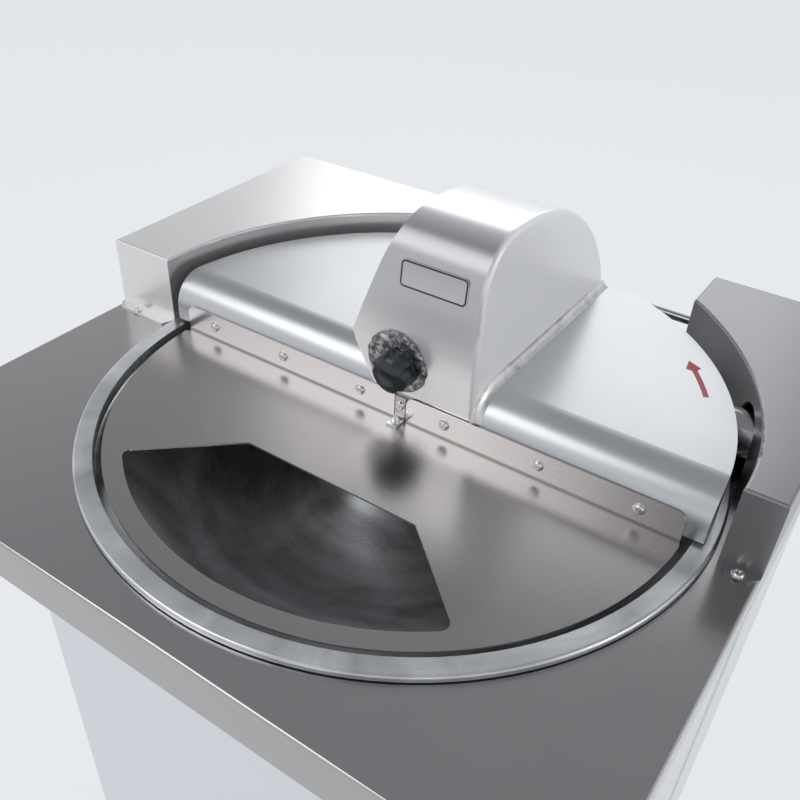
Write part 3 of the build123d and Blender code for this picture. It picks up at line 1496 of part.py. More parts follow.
box_depth = 90.0
with BuildPart() as electrical_box:
    with BuildSketch(facing(cabinet_front + sheet)):
        with Locations((panel_x, panel_z)):
            RectangleRounded(panel_width, panel_height + 20, 5)
    extrude(amount=-box_depth)
    with BuildSketch(facing(cabinet_front + sheet)):
        with Locations((panel_x, panel_z)):
            RectangleRounded(panel_width - 2 * sheet, panel_height + 20 - 2 * sheet, 3)
    extrude(amount=-(box_depth - sheet), mode=Mode.SUBTRACT)
save(electrical_box.part, "electrical_box")
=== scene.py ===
import bmesh
import bpy
import json
import math
from mathutils import Matrix, Vector


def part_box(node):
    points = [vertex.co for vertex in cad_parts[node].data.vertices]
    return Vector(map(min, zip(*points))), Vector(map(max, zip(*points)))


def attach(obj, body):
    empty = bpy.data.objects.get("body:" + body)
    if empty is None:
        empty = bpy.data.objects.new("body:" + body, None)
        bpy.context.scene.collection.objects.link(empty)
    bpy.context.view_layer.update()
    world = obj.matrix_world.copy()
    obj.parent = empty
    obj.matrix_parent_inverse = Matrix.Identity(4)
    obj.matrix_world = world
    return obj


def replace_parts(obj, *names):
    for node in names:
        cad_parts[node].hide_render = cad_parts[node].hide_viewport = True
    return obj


bl_info = {
    "name": "Meat Bowl Cutter",
    "version": (1, 0, 0),
    "blender": (4, 5, 0),
    "location": "3D View > Sidebar > Bowl Cutter",
    "description": "Finishes, fasteners, welds and studio for a bench-height meat bowl cutter",
    "category": "Object",
}

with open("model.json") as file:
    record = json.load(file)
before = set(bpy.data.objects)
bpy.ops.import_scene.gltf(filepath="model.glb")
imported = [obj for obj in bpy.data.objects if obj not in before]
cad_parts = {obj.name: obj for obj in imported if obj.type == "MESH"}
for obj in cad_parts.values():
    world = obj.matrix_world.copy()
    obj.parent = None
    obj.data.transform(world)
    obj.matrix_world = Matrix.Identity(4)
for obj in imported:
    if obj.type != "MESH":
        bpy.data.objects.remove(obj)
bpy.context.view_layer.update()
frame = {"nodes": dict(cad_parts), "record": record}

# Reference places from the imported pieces, in metres.
BOWL_LOW, BOWL_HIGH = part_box("bowl")
BOWL_X = (BOWL_LOW.x + BOWL_HIGH.x) / 2
TABLE_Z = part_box("table_top")[1].z

# Places on the lid and the dome, in millimetres from the bowl axis and the table top.
LID_TOP = 62.0
LID_BEND_Y, LID_BEND_Z = 37.0, 25.0
DOME_SIDE_X, DOME_BACK_Y = 80.0, 283.0
DOME_FRONT_CENTRE_Y, DOME_FRONT_CENTRE_Z, DOME_FRONT_RADIUS = 663.3, 103.8, 667.1
STRIP_FACE_Y = -2.0
STRIP_SCREWS = [(side * x, STRIP_FACE_Y, 20.5) for x in (50.3, 152.4, 251.3) for side in (-1, 1)]
CLIP_UPPER_SCREW, CLIP_LOWER_SCREW = (-1.0, STRIP_FACE_Y, 22.0), (-1.0, -10.0, 6.3)
GUARD_FOOT_Z = 2.0
KNOB_SEAT = (0.0, -6.6, 71.0)
# Centre of the dark disc that paints the knob's shadow and reflection on the dome.
KNOB_SHADOW_X, KNOB_SHADOW_Z = -6.0, 72.0
PLATE_X, PLATE_Z = 27.0, 167.0

# Sizes of small things, in metres.
GUARD_SCREW_INSET = 0.0044
COVER_SCREW_RADIUS, COVER_SCREW_HEIGHT, COVER_SCREW_INSET = 0.0042, 0.0022, 0.009
COVER_SCREW_SINK = 0.0013
COVER_THICKNESS = 0.002
# Size of the dark disc that paints the knob's shadow and reflection on the dome.
KNOB_SHADOW_RADIUS, KNOB_SHADOW_STEP = 0.0345, 0.005
ARROW_RADIUS, ARROW_HALF_WIDTH, ARROW_HEAD, ARROW_THICKNESS = 0.287, 0.0026, 0.02, 0.00012
ARROW_START, ARROW_SWEEP = math.radians(29), math.radians(8.2)
PLATE_HALF_WIDTH, PLATE_HALF_HEIGHT, PLATE_CORNER, PLATE_THICKNESS = 0.0355, 0.0135, 0.005, 0.0004
OUTLINE_OUTER, OUTLINE_INNER = 0.0006, 0.0023

CAMERA_SPOT = (391.76, -617.83, 545.87)
CAMERA_YAW, CAMERA_PITCH, CAMERA_ROLL = 34.33, -38.01, 1.72
CAMERA_SHIFT_X, CAMERA_SHIFT_Y = 0.0299, 0.052
FLOOR_SIZE = 60.0
FLOOR_GLOW_SHARE = 0.8
HORIZON_END, CEILING_START = 0.12, 0.75


def place(x, y, z):
    """A point given in millimetres from the bowl axis and the table top, as a point in the row frame."""
    return Vector((BOWL_X + x / 1000, y / 1000, TABLE_Z + z / 1000))


# ---------------------------------------------------------------- node helpers


class Nodes:
    """Adds and links shader nodes in one material or world."""

    def __init__(self, owner):
        self.tree = owner.node_tree
        self.shader = self.tree.nodes.get("Principled BSDF") or self.tree.nodes["Background"]

    def add(self, kind, **settings):
        node = self.tree.nodes.new(kind)
        for key, value in settings.items():
            if key in node.inputs:
                node.inputs[key].default_value = value
            else:
                setattr(node, key, value)
        return node

    def link(self, source, target):
        self.tree.links.new(source, target)

    def feed(self, socket, source):
        """Links a value to a socket of the surface shader or the background."""
        self.link(source, self.shader.inputs[socket])

    def tint(self, share, color):
        """Blends the colour that is fed so far towards another one."""
        before = self.shader.inputs["Base Color"].links[0].from_socket
        self.feed("Base Color", self.mix_color(share, before, (*color, 1)))

    def axes(self, kind="Object"):
        """The x, y and z of a point, as three sockets."""
        coords = self.add("ShaderNodeTexCoord")
        parts = self.add("ShaderNodeSeparateXYZ")
        self.link(coords.outputs[kind], parts.inputs["Vector"])
        return parts.outputs

    def object_coords(self, scale=(1, 1, 1), location=(0, 0, 0)):
        coords = self.add("ShaderNodeTexCoord")
        mapping = self.add("ShaderNodeMapping", vector_type="TEXTURE")
        mapping.inputs["Location"].default_value = location
        stretch = self.add("ShaderNodeMapping")
        stretch.inputs["Scale"].default_value = scale
        self.link(coords.outputs["Object"], mapping.inputs["Vector"])
        self.link(mapping.outputs["Vector"], stretch.inputs["Vector"])
        return stretch.outputs["Vector"]

    def noise(self, vector, scale, detail=3.0, roughness=0.5, distortion=0.0):
        node = self.add("ShaderNodeTexNoise")
        node.inputs["Scale"].default_value = scale
        node.inputs["Detail"].default_value = detail
        node.inputs["Roughness"].default_value = roughness
        node.inputs["Distortion"].default_value = distortion
        self.link(vector, node.inputs["Vector"])
        return node.outputs["Fac"]

    def math(self, operation, a, b=0.0):
        node = self.add("ShaderNodeMath", operation=operation)
        for socket, value in zip(node.inputs, (a, b)):
            if isinstance(value, (int, float)):
                socket.default_value = value
            else:
                self.link(value, socket)
        return node.outputs[0]

    def span(self, value, low, high, from_low=0.0, from_high=1.0, **settings):
        node = self.add("ShaderNodeMapRange", **settings)
        node.inputs["From Min"].default_value = from_low
        node.inputs["From Max"].default_value = from_high
        node.inputs["To Min"].default_value = low
        node.inputs["To Max"].default_value = high
        self.link(value, node.inputs["Value"])
        return node.outputs["Result"]

    def mix_color(self, factor, a, b):
        node = self.add("ShaderNodeMix", data_type="RGBA")
        for name, value in (("Factor", factor), ("A", a), ("B", b)):
            if isinstance(value, bpy.types.NodeSocket):
                self.link(value, node.inputs[name])
            else:
                node.inputs[name].default_value = value
        return node.outputs["Result"]

    def bump(self, height, strength, distance):
        node = self.add("ShaderNodeBump")
        node.inputs["Strength"].default_value = strength
        node.inputs["Distance"].default_value = distance
        self.link(height, node.inputs["Height"])
        return node.outputs["Normal"]


def fresh_material(name, color, metallic, roughness):
    material = bpy.data.materials.new(name)
    material.use_nodes = True
    shader = material.node_tree.nodes["Principled BSDF"]
    shader.inputs["Base Color"].default_value = (*color, 1)
    shader.inputs["Metallic"].default_value = metallic
    shader.inputs["Roughness"].default_value = roughness
    return material


def toned(color, factor, lift=0.0):
    """A colour made darker or lighter, with full alpha."""
    return (*(min(1.0, channel * factor + lift) for channel in color), 1)


def brushed_steel(name, color, roughness, grain=(3, 260, 260), metallic=1.0, stain=0.03, spread=0.035):
    """Stainless sheet with a directional grain and faint cloudy marks."""
    material = fresh_material(name, color, metallic, roughness)
    nodes = Nodes(material)
    fine = nodes.noise(nodes.object_coords(scale=grain), 5.0, detail=6, roughness=0.65)
    cloud = nodes.noise(nodes.object_coords(), 7.0, detail=4, roughness=0.6)
    mixed = nodes.math("ADD", nodes.math("MULTIPLY", fine, 0.6), nodes.math("MULTIPLY", cloud, 0.4))
    nodes.feed("Roughness", nodes.span(mixed, roughness - spread, roughness + spread, 0.3, 0.7))
    nodes.feed("Base Color", nodes.mix_color(mixed, toned(color, 1 - stain), toned(color, 1 + stain)))
    nodes.feed("Normal", nodes.bump(fine, 0.3, 0.000007))
    return material


def shaded_along(material, axis, start, end, tint):
    """Blends a sheet's colour towards a tint along an axis: painted light and shade, one sheet made lighter
    or darker in parts where lamps and reflections fall differently.
    """
    nodes = Nodes(material)
    # Painted light or shade along the axis.
    nodes.tint(nodes.span(nodes.axes()[axis], 0, 1, start, end), tint)


def guard_steel(name, left, right):
    """Satin sheet with painted light and shade: painted brighter on the left guard and painted darker on the
    right, where light and reflections fall differently on the one sheet.
    """
    material = brushed_steel(name, right, 0.3, metallic=0.85)
    # Painted light on the left guard, over the painted shade of the right.
    shaded_along(material, "X", 0.1, -0.1, left)
    return material


def dome_steel(name, color, brow_shade):
    """Polished sheet with a painted shade, a darker band at the top of its front that stands for a dark
    reflection, and a paler, duller right side.
    """
    material = brushed_steel(name, color, 0.3, grain=(3, 120, 120), metallic=0.75, stain=0.06)
    nodes = Nodes(material)
    axes = nodes.axes()
    high = nodes.span(axes["Z"], 0, 1, TABLE_Z + 0.110, TABLE_Z + 0.205)
    front = nodes.span(axes["Y"], 1, 0, 0.018, 0.040)
    inner = nodes.span(axes["X"], 1, 0, BOWL_X + 0.074, BOWL_X + 0.079)
    # Painted shade: the top of the front is darkened towards the brow shade colour.
    nodes.tint(nodes.math("MULTIPLY", nodes.math("MULTIPLY", high, front), inner), brow_shade)
    nodes.feed("Metallic", nodes.span(inner, 0.15, 0.62))
    return material


def folded_plate(name, color, strip_painted_light, roughness):
    """Matt sheet whose upright folded strip is painted brighter than its flat: a painted highlight, strongest
    at its left and fading back to the flat's colour towards the right.
    """
    material = brushed_steel(name, color, roughness)
    # Painted highlight on the upright strip.
    shaded_along(material, "Z", TABLE_Z + 0.0055, TABLE_Z + 0.0075, strip_painted_light)
    # Painted shade: the strip's painted highlight fades back to the flat's colour towards the right.
    shaded_along(material, "X", BOWL_X + 0.02, BOWL_X + 0.60, color)
    return material


def turned_steel(name, color, roughness):
    """Spun stainless with rings round the bowl axis and cloudy swirls."""
    material = fresh_material(name, color, 0.8, roughness)
    nodes = Nodes(material)
    centred = nodes.object_coords(location=(BOWL_X, 0, 0), scale=(1, 1, 0))
    length = nodes.add("ShaderNodeVectorMath", operation="LENGTH")
    nodes.link(centred, length.inputs[0])
    radius = nodes.add("ShaderNodeCombineXYZ")
    nodes.link(length.outputs["Value"], radius.inputs["X"])
    rings = nodes.noise(radius.outputs["Vector"], 900.0, detail=5, roughness=0.7)
    bands = nodes.noise(radius.outputs["Vector"], 26.0, detail=2)
    swirl = nodes.noise(nodes.object_coords(), 8.0, detail=4, distortion=1.6)
    cloud = nodes.math("ADD", nodes.math("MULTIPLY", bands, 0.45), nodes.math("MULTIPLY", swirl, 0.55))
    shade = nodes.mix_color(nodes.span(cloud, 0, 1, 0.38, 0.62), toned(color, 0.62), toned(color, 1.25))
    nodes.feed("Base Color", shade)
    mixed = nodes.math("ADD", nodes.math("MULTIPLY", rings, 0.5), nodes.math("MULTIPLY", cloud, 0.5))
    nodes.feed("Roughness", nodes.span(mixed, roughness - 0.08, roughness + 0.1, 0.35, 0.65))
    nodes.feed("Normal", nodes.bump(rings, 0.35, 0.000012))
    return material


def painted(name, color, roughness, grain=900.0, depth=0.00006):
    """Sprayed enamel or moulded plastic: an orange-peel surface and slightly uneven gloss."""
    material = fresh_material(name, color, 0.0, roughness)
    nodes = Nodes(material)
    peel = nodes.noise(nodes.object_coords(), grain, detail=2)
    cloud = nodes.noise(nodes.object_coords(), 11.0, detail=4)
    nodes.feed("Roughness", nodes.span(cloud, roughness - 0.06, roughness + 0.08, 0.3, 0.7))
    nodes.feed("Base Color", nodes.mix_color(cloud, toned(color, 0.88), toned(color, 1.1, 0.004)))
    nodes.feed("Normal", nodes.bump(peel, 0.2, depth))
    return material


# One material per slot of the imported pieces; FINISHED holds those that are made.
FINISHES = {
    "table_sheet": lambda: brushed_steel("table_sheet_satin", (0.44, 0.42, 0.425), 0.20),
    # The guard's pale and dark colours are painted light on the left guard and painted shade on the right.
    "guard_sheet": lambda: guard_steel("guard_sheet_satin", (0.80, 0.79, 0.78), (0.29, 0.29, 0.30)),
    "lid_sheet": lambda: brushed_steel("lid_sheet_satin", (0.56, 0.57, 0.585), 0.32, metallic=0.92),
    # The dome's second colour is the painted shade on the top of its front.
    "dome_polished": lambda: dome_steel("dome_polished_sheet", (0.95, 0.955, 0.965), (0.36, 0.36, 0.38)),
    # The feed plate's second colour is the painted highlight of its upright strip.
    "feed_sheet": lambda: folded_plate("feed_sheet_matt", (0.38, 0.36, 0.352), (0.90, 0.88, 0.90), 0.25),
    "bowl_steel": lambda: turned_steel("bowl_turned_steel", (0.64, 0.66, 0.68), 0.27),
    "cabinet_sheet": lambda: brushed_steel("cabinet_sheet_satin", (0.76, 0.79, 0.82), 0.34,
                                           grain=(260, 260, 3), metallic=0.9),
    "knife_steel": lambda: brushed_steel("knife_ground_steel", (0.70, 0.70, 0.71), 0.18, grain=(300, 20, 20)),
    "bright_steel": lambda: brushed_steel("bright_turned_steel", (0.45, 0.45, 0.46), 0.18),
    "fastener": lambda: brushed_steel("fastener_steel", (0.78, 0.77, 0.76), 0.14),
    "bearing_steel": lambda: brushed_steel("bearing_ground_steel", (0.70, 0.70, 0.71), 0.16),
    "frame_paint": lambda: painted("frame_grey_paint", (0.10, 0.11, 0.12), 0.45),
    "cast_grey": lambda: painted("cast_iron_machined", (0.16, 0.16, 0.16), 0.55, grain=500.0, depth=0.0002),
    "housing_steel": lambda: brushed_steel("housing_turned_steel", (0.40, 0.40, 0.41), 0.2,
                                           grain=(300, 5, 5)),
    "motor_paint": lambda: painted("motor_blue_grey_enamel", (0.06, 0.10, 0.14), 0.4),
    "rubber_black": lambda: painted("black_rubber", (0.018, 0.018, 0.018), 0.75, grain=600.0, depth=0.0001),
    "black_plastic": lambda: painted("black_moulding", (0.022, 0.022, 0.022), 0.5),
    "knob_black": lambda: painted("knob_gloss_black", (0.018, 0.024, 0.033), 0.12),
    "scraper_white": lambda: painted("scraper_white_plastic", (0.78, 0.78, 0.76), 0.5),
    "button_green": lambda: painted("button_green_cap", (0.02, 0.22, 0.06), 0.3),
    "button_red": lambda: painted("button_red_cap", (0.42, 0.015, 0.015), 0.3),
    "box_steel": lambda: painted("box_powder_coat", (0.55, 0.55, 0.53), 0.5),
}
FINISHED = {}


def ground_weld():
    """Weld bead ground flush: coarse scratches and faint straw tints."""
    material = fresh_material("ground_weld_steel", (0.72, 0.71, 0.70), 1.0, 0.34)
    nodes = Nodes(material)
    scratches = nodes.noise(nodes.object_coords(scale=(60, 400, 400)), 4.0, detail=5, roughness=0.7)
    tint = nodes.noise(nodes.object_coords(), 38.0, detail=4, distortion=0.8)
    color = nodes.mix_color(nodes.span(tint, 0, 1, 0.35, 0.65), (0.58, 0.57, 0.57, 1), (0.86, 0.85, 0.83, 1))
    nodes.feed("Base Color", color)
    nodes.feed("Roughness", nodes.span(tint, 0.24, 0.46, 0.3, 0.7))
    nodes.feed("Normal", nodes.bump(scratches, 0.5, 0.00012))
    return material


def raw_weld():
    """Painted shadow and reflection of the knob on the dome's front: dark ragged scale with lighter spots."""
    material = fresh_material("painted_knob_shadow_scale", (0.2, 0.2, 0.21), 1.0, 0.35)
    nodes = Nodes(material)
    lumps = nodes.noise(nodes.object_coords(), 150.0, detail=4, roughness=0.6, distortion=0.6)
    share = nodes.span(lumps, 0, 1, 0.40, 0.60)
    # Dark painted shade with lighter spots, standing for the knob's shadow and reflection.
    color = nodes.mix_color(share, (0.14, 0.14, 0.145, 1), (0.62, 0.62, 0.63, 1))
    nodes.feed("Base Color", color)
    nodes.feed("Roughness", nodes.span(lumps, 0.5, 0.2, 0.35, 0.65))
    nodes.feed("Normal", nodes.bump(lumps, 0.9, 0.0012))
    return material


def pale_stage(name, color, shown, share):
    """A floor that camera, metal and glass see partly in its own pale colour, and that still takes shadow."""
    material = fresh_material(name, color, 0.0, 0.9)
    nodes = Nodes(material)
    path = nodes.add("ShaderNodeLightPath")
    seen = nodes.math("MAXIMUM", path.outputs["Is Camera Ray"], path.outputs["Is Glossy Ray"])
    seen = nodes.math("MAXIMUM", seen, path.outputs["Is Transmission Ray"])
    glow = nodes.add("ShaderNodeEmission")
    glow.inputs["Color"].default_value = (*shown, 1)
    blend = nodes.add("ShaderNodeMixShader")
    nodes.link(nodes.math("MULTIPLY", seen, share), blend.inputs["Fac"])
    nodes.link(nodes.shader.outputs["BSDF"], blend.inputs[1])
    nodes.link(glow.outputs["Emission"], blend.inputs[2])
    output = next(node for node in nodes.tree.nodes if node.type == "OUTPUT_MATERIAL")
    nodes.link(blend.outputs["Shader"], output.inputs["Surface"])
    return material


# ---------------------------------------------------------------- modelling helpers


def begin(operator, **settings):
    """Adds one primitive with nothing else selected and its place applied to its mesh."""
    bpy.ops.object.select_all(action="DESELECT")
    operator(**settings)
    bpy.ops.object.transform_apply(location=True, rotation=True, scale=True)
    return bpy.context.active_object


def block(low, high):
    """A box between two corners, ready for shaping."""
    middle = (Vector(low) + Vector(high)) / 2
    return begin(bpy.ops.mesh.primitive_cube_add, size=1, location=middle, scale=Vector(high) - Vector(low))


def pick(piece, test, kind="FACE"):
    """In edit mode, selects the faces, edges or vertices that pass a test."""
    bpy.ops.mesh.select_mode(type=kind)
    bpy.ops.mesh.select_all(action="DESELECT")
    mesh = bmesh.from_edit_mesh(piece.data)
    elements = {"FACE": mesh.faces, "EDGE": mesh.edges, "VERT": mesh.verts}[kind]
    for element in elements:
        if test(element):
            element.select_set(True)
    mesh.select_flush_mode()
    bmesh.update_edit_mesh(piece.data)


def edit(piece, on=True):
    """Enters or leaves edit mode on a piece."""
    bpy.context.view_layer.objects.active = piece
    bpy.ops.object.mode_set(mode="EDIT" if on else "OBJECT")


def use(piece, kind, **settings):
    """Adds a modifier and applies it."""
    bpy.ops.object.select_all(action="DESELECT")
    piece.select_set(True)
    bpy.context.view_layer.objects.active = piece
    modifier = piece.modifiers.new(kind.title(), kind)
    for key, value in settings.items():
        setattr(modifier, key, value)
    bpy.ops.object.modifier_apply(modifier=modifier.name)


def carve(piece, cutter):
    """Takes one piece's shape out of another."""
    use(piece, "BOOLEAN", operation="DIFFERENCE", solver="EXACT", object=cutter)
    bpy.data.objects.remove(cutter)


def smooth(piece, degrees=35):
    """Shades a piece smooth except at edges sharper than an angle."""
    bpy.ops.object.select_all(action="DESELECT")
    piece.select_set(True)
    bpy.context.view_layer.objects.active = piece
    bpy.ops.object.shade_smooth_by_angle(angle=math.radians(degrees))


def fit(piece, name, body, material):
    """Names a finished piece, gives it its finish and makes it ride on its body."""
    piece.name = name
    piece.data.name = name
    piece.data.materials.clear()
    piece.data.materials.append(material)
    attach(piece, body)
    return piece


def copies(master, name, places, body, material):
    """Copies a piece to each place, each copy with its own mesh, and removes the master."""
    made = []
    for index, matrix in enumerate(places, 1):
        piece = master.copy()
        piece.data = master.data.copy()
        piece.data.transform(matrix)
        bpy.context.scene.collection.objects.link(piece)
        made.append(fit(piece, f"{name}_{index}", body, material))
    bpy.data.objects.remove(master)
    return made


# Turns a piece modelled upwards so that it faces the front.
FACING_FRONT = Matrix.Rotation(math.pi / 2, 4, "X")


def dome_front(z):
    """Y of the dome's front sheet at a height above the table, millimetres, and its lean in radians."""
    lean = math.asin((z - DOME_FRONT_CENTRE_Z) / DOME_FRONT_RADIUS)
    return DOME_FRONT_CENTRE_Y - DOME_FRONT_RADIUS * math.cos(lean), lean


def on_dome_front(x, z, stand_off, touch_rise=0.0):
    """Seat on the dome's front sheet, a little in front of it and leaning as it does touch_rise higher."""
    y, lean = dome_front(z + touch_rise)
    return Matrix.Translation(place(x, y - stand_off, z)) @ Matrix.Rotation(-lean, 4, "X") @ FACING_FRONT


# ---------------------------------------------------------------- settings


class StudioSettings(bpy.types.PropertyGroup):
    """Camera and light of the plain studio."""

    focal_length: bpy.props.FloatProperty(
        name="Focal length", description="Camera focal length in millimetres",
        default=40.54, min=10, max=200, subtype="DISTANCE_CAMERA")
    rear_glow: bpy.props.FloatProperty(
        name="Rear light", description="Brightness of the soft box behind",
        default=1.25, subtype="UNSIGNED")
    front_glow: bpy.props.FloatProperty(
        name="Front light", description="Brightness of the soft box at the front left",
        default=2.1, subtype="UNSIGNED")
    side_glow: bpy.props.FloatProperty(
        name="Side light", description="Brightness of the soft box at the right",
        default=1.7, subtype="UNSIGNED")
    backdrop: bpy.props.FloatVectorProperty(
        name="Backdrop", description="Colour that the background shows",
        subtype="COLOR", size=3, min=0, max=1, default=(0.86, 0.88, 0.905))
    ceiling: bpy.props.FloatVectorProperty(
        name="Ceiling", description="Colour of the room overhead",
        subtype="COLOR", size=3, min=0, max=1, default=(0.36, 0.37, 0.39))


class FittingSettings(bpy.types.PropertyGroup):
    """Sizes of the small fittings on the lid."""

    screw_radius: bpy.props.FloatProperty(
        name="Screw head radius", description="Radius of the pan-head screws",
        default=0.0049, unit="LENGTH", precision=4)
    screw_height: bpy.props.FloatProperty(
        name="Screw head height", description="Height of the pan-head screws",
        default=0.0028, unit="LENGTH", precision=4)
    knob_radius: bpy.props.FloatProperty(
        name="Knob radius", description="Radius over the knob's lobes",
        default=0.020, unit="LENGTH", precision=4)
    weld_width: bpy.props.FloatProperty(
        name="Weld width", description="Width of the ground weld beside the dome",
        default=0.008, unit="LENGTH", precision=4)
    arrow_color: bpy.props.FloatVectorProperty(
        name="Arrow colour", description="Colour of the rotation arrow",
        subtype="COLOR", size=3, min=0, max=1, default=(0.42, 0.03, 0.05))


# ---------------------------------------------------------------- operators


class CUTTER_OT_finishes(bpy.types.Operator):
    """Gives each piece the finish of its material slot"""
    bl_idname = "cutter.finishes"
    bl_label = "Finish the pieces"

    def execute(self, context):
        for row in frame["record"]["subparts"]:
            slot = row["material_slot"]
            if slot not in FINISHED:
                FINISHED[slot] = FINISHES[slot]()
            piece = frame["nodes"][row["node"]]
            piece.data.materials.clear()
            piece.data.materials.append(FINISHED[slot])
        FINISHED["ground_weld"] = ground_weld()
        # The second is the painted shadow and reflection of the knob on the dome.
        FINISHED["raw_weld"] = raw_weld()
        return {"FINISHED"}


def pan_screw(radius, height):
    """A cross-recessed pan-head screw with a washer, standing on the origin and pointing down."""
    screw = begin(bpy.ops.mesh.primitive_cylinder_add, vertices=32, radius=radius, depth=height,
                  location=(0, 0, height / 2))
    edit(screw)
    pick(screw, lambda edge: all(vertex.co.z > 0.9 * height for vertex in edge.verts), "EDGE")
    bpy.ops.mesh.bevel(offset=0.62 * height, segments=4, affect="EDGES")
    pick(screw, lambda face: face.normal.z < -0.9)
    bpy.ops.mesh.inset(thickness=0.45 * radius)
    bpy.ops.mesh.extrude_region_move(TRANSFORM_OT_translate={"value": (0, 0, -0.006)})
    edit(screw, False)
    for across_x in (True, False):
        long, short = 0.62 * radius, 0.13 * radius
        reach = (long, short) if across_x else (short, long)
        cutter = block((-reach[0], -reach[1], 0.35 * height), (reach[0], reach[1], 1.2 * height))
        edit(cutter)
        pick(cutter, lambda face: face.normal.z < -0.9)
        bpy.ops.transform.resize(value=(0.45, 0.45, 1), center_override=(0, 0, 0.35 * height))
        edit(cutter, False)
        carve(screw, cutter)
    washer = begin(bpy.ops.mesh.primitive_cylinder_add, vertices=32, radius=1.22 * radius,
                   depth=0.16 * height, location=(0, 0, 0.08 * height))
    edit(washer)
    pick(washer, lambda edge: all(vertex.co.z > 0.1 * height for vertex in edge.verts), "EDGE")
    bpy.ops.mesh.bevel(offset=0.06 * height, segments=2, affect="EDGES")
    edit(washer, False)
    bpy.ops.object.select_all(action="DESELECT")
    washer.select_set(True)
    screw.select_set(True)
    bpy.context.view_layer.objects.active = screw
    bpy.ops.object.join()
    smooth(screw)
    return screw


class CUTTER_OT_lid_screws(bpy.types.Operator):
    """Cross-recessed screws along the lid's strip, on the clip and on the guards' feet"""
    bl_idname = "cutter.lid_screws"
    bl_label = "Lid and guard screws"

    def execute(self, context):
        sizes = context.scene.cutter_fittings
        steel = FINISHED["fastener"]
        seats = [place(*spot) for spot in (*STRIP_SCREWS, CLIP_UPPER_SCREW)]
        places = [Matrix.Translation(seat) @ FACING_FRONT @ Matrix.Rotation(0.9 * index, 4, "Z")
                  for index, seat in enumerate(seats)]
        places.append(Matrix.Translation(place(*CLIP_LOWER_SCREW)) @ Matrix.Rotation(0.4, 4, "Z"))
        screw = pan_screw(sizes.screw_radius, sizes.screw_height)
        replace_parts(copies(screw, "lid_screw", places, "lid", steel)[0], "lid_screws")
        low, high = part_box("guard_screws")
        foot = Vector((0, (low.y + high.y) / 2, place(0, 0, GUARD_FOOT_Z).z))
        places = [Matrix.Translation(foot + Vector((x, 0, 0))) @ Matrix.Rotation(turn, 4, "Z")
                  for x, turn in ((low.x + GUARD_SCREW_INSET, 0.3), (high.x - GUARD_SCREW_INSET, 1.1))]
        screw = pan_screw(sizes.screw_radius, sizes.screw_height)
        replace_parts(copies(screw, "guard_screw", places, "cabinet", steel)[0], "guard_screws")
        return {"FINISHED"}


class CUTTER_OT_panel_screws(bpy.types.Operator):
    """Screws at the corners of the cabinet's covers"""
    bl_idname = "cutter.panel_screws"
    bl_label = "Cabinet screws"

    def execute(self, context):
        inset = COVER_SCREW_INSET
        seats = []
        for node, axis, sign in (("side_cover", "X", 1), ("back_panel", "Y", 1), ("control_panel", "Y", -1)):
            low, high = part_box(node)
            if axis == "X":
                turn = Matrix.Rotation(math.pi / 2, 4, "Y")
                spots = [(high.x - COVER_SCREW_SINK, y, z) for y in (low.y + inset, high.y - inset)
                         for z in (low.z + inset, (low.z + high.z) / 2, high.z - inset)]
            else:
                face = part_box("cabinet_shell")[1 if sign > 0 else 0].y + COVER_THICKNESS * sign
                turn = Matrix.Rotation(-sign * math.pi / 2, 4, "X")
                spots = [(x, face, z) for x in (low.x + inset, high.x - inset)
                         for z in (low.z + inset, high.z - inset)]
            seats += [Matrix.Translation(spot) @ turn @ Matrix.Rotation(0.7 * index, 4, "Z")
                      for index, spot in enumerate(spots)]
        screw = pan_screw(COVER_SCREW_RADIUS, COVER_SCREW_HEIGHT)
        copies(screw, "panel_screw", seats, "cabinet", FINISHED["fastener"])
        return {"FINISHED"}


class CUTTER_OT_lid_knob(bpy.types.Operator):
    """Star knob with five lobes and a crowned face, on its steel insert"""
    bl_idname = "cutter.lid_knob"
    bl_label = "Lid knob"

    def execute(self, context):
        radius = context.scene.cutter_fittings.knob_radius
        thick = 0.95 * radius
        knob = begin(bpy.ops.mesh.primitive_cylinder_add, vertices=72, radius=radius, depth=thick,
                     location=(0, 0, thick / 2))
        edit(knob)
        pick(knob, lambda face: face.normal.z > 0.9)
        for inset, rise in ((0.13, 0.13), (0.2, 0.12), (0.24, 0.08), (0.2, 0.03)):
            bpy.ops.mesh.inset(thickness=inset * radius)
            bpy.ops.transform.translate(value=(0, 0, rise * radius))
        edit(knob, False)
        for index in range(5):
            turn = math.radians(72 * index + 20)
            reach = 1.26 * radius
            cutter = begin(bpy.ops.mesh.primitive_cylinder_add, vertices=40, radius=0.44 * radius,
                           depth=4 * thick,
                           location=(reach * math.cos(turn), reach * math.sin(turn), thick / 2))
            carve(knob, cutter)
        use(knob, "BEVEL", width=0.14 * radius, segments=5, limit_method="ANGLE",
            angle_limit=math.radians(38))
        smooth(knob, 50)
        seat = Matrix.Translation(place(*KNOB_SEAT)) @ FACING_FRONT
        gloss = FINISHED["knob_black"]
        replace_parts(copies(knob, "star_knob", [seat], "lid_knob", gloss)[0], "lid_knob")

        insert = begin(bpy.ops.mesh.primitive_cylinder_add, vertices=40, radius=0.5 * radius, depth=0.0022,
                       location=(0, 0, -0.0011))
        edit(insert)
        pick(insert, lambda face: face.normal.z < -0.9)
        bpy.ops.mesh.inset(thickness=0.3 * radius)
        bpy.ops.mesh.extrude_region_move(TRANSFORM_OT_translate={"value": (0, 0, -0.018)})
        pick(insert, lambda edge: all(abs(vertex.co.z) < 0.0001 for vertex in edge.verts), "EDGE")
        bpy.ops.mesh.bevel(offset=0.0004, segments=2, affect="EDGES")
        edit(insert, False)
        smooth(insert)
        copies(insert, "knob_insert", [seat], "lid_knob", FINISHED["bright_steel"])
        return {"FINISHED"}


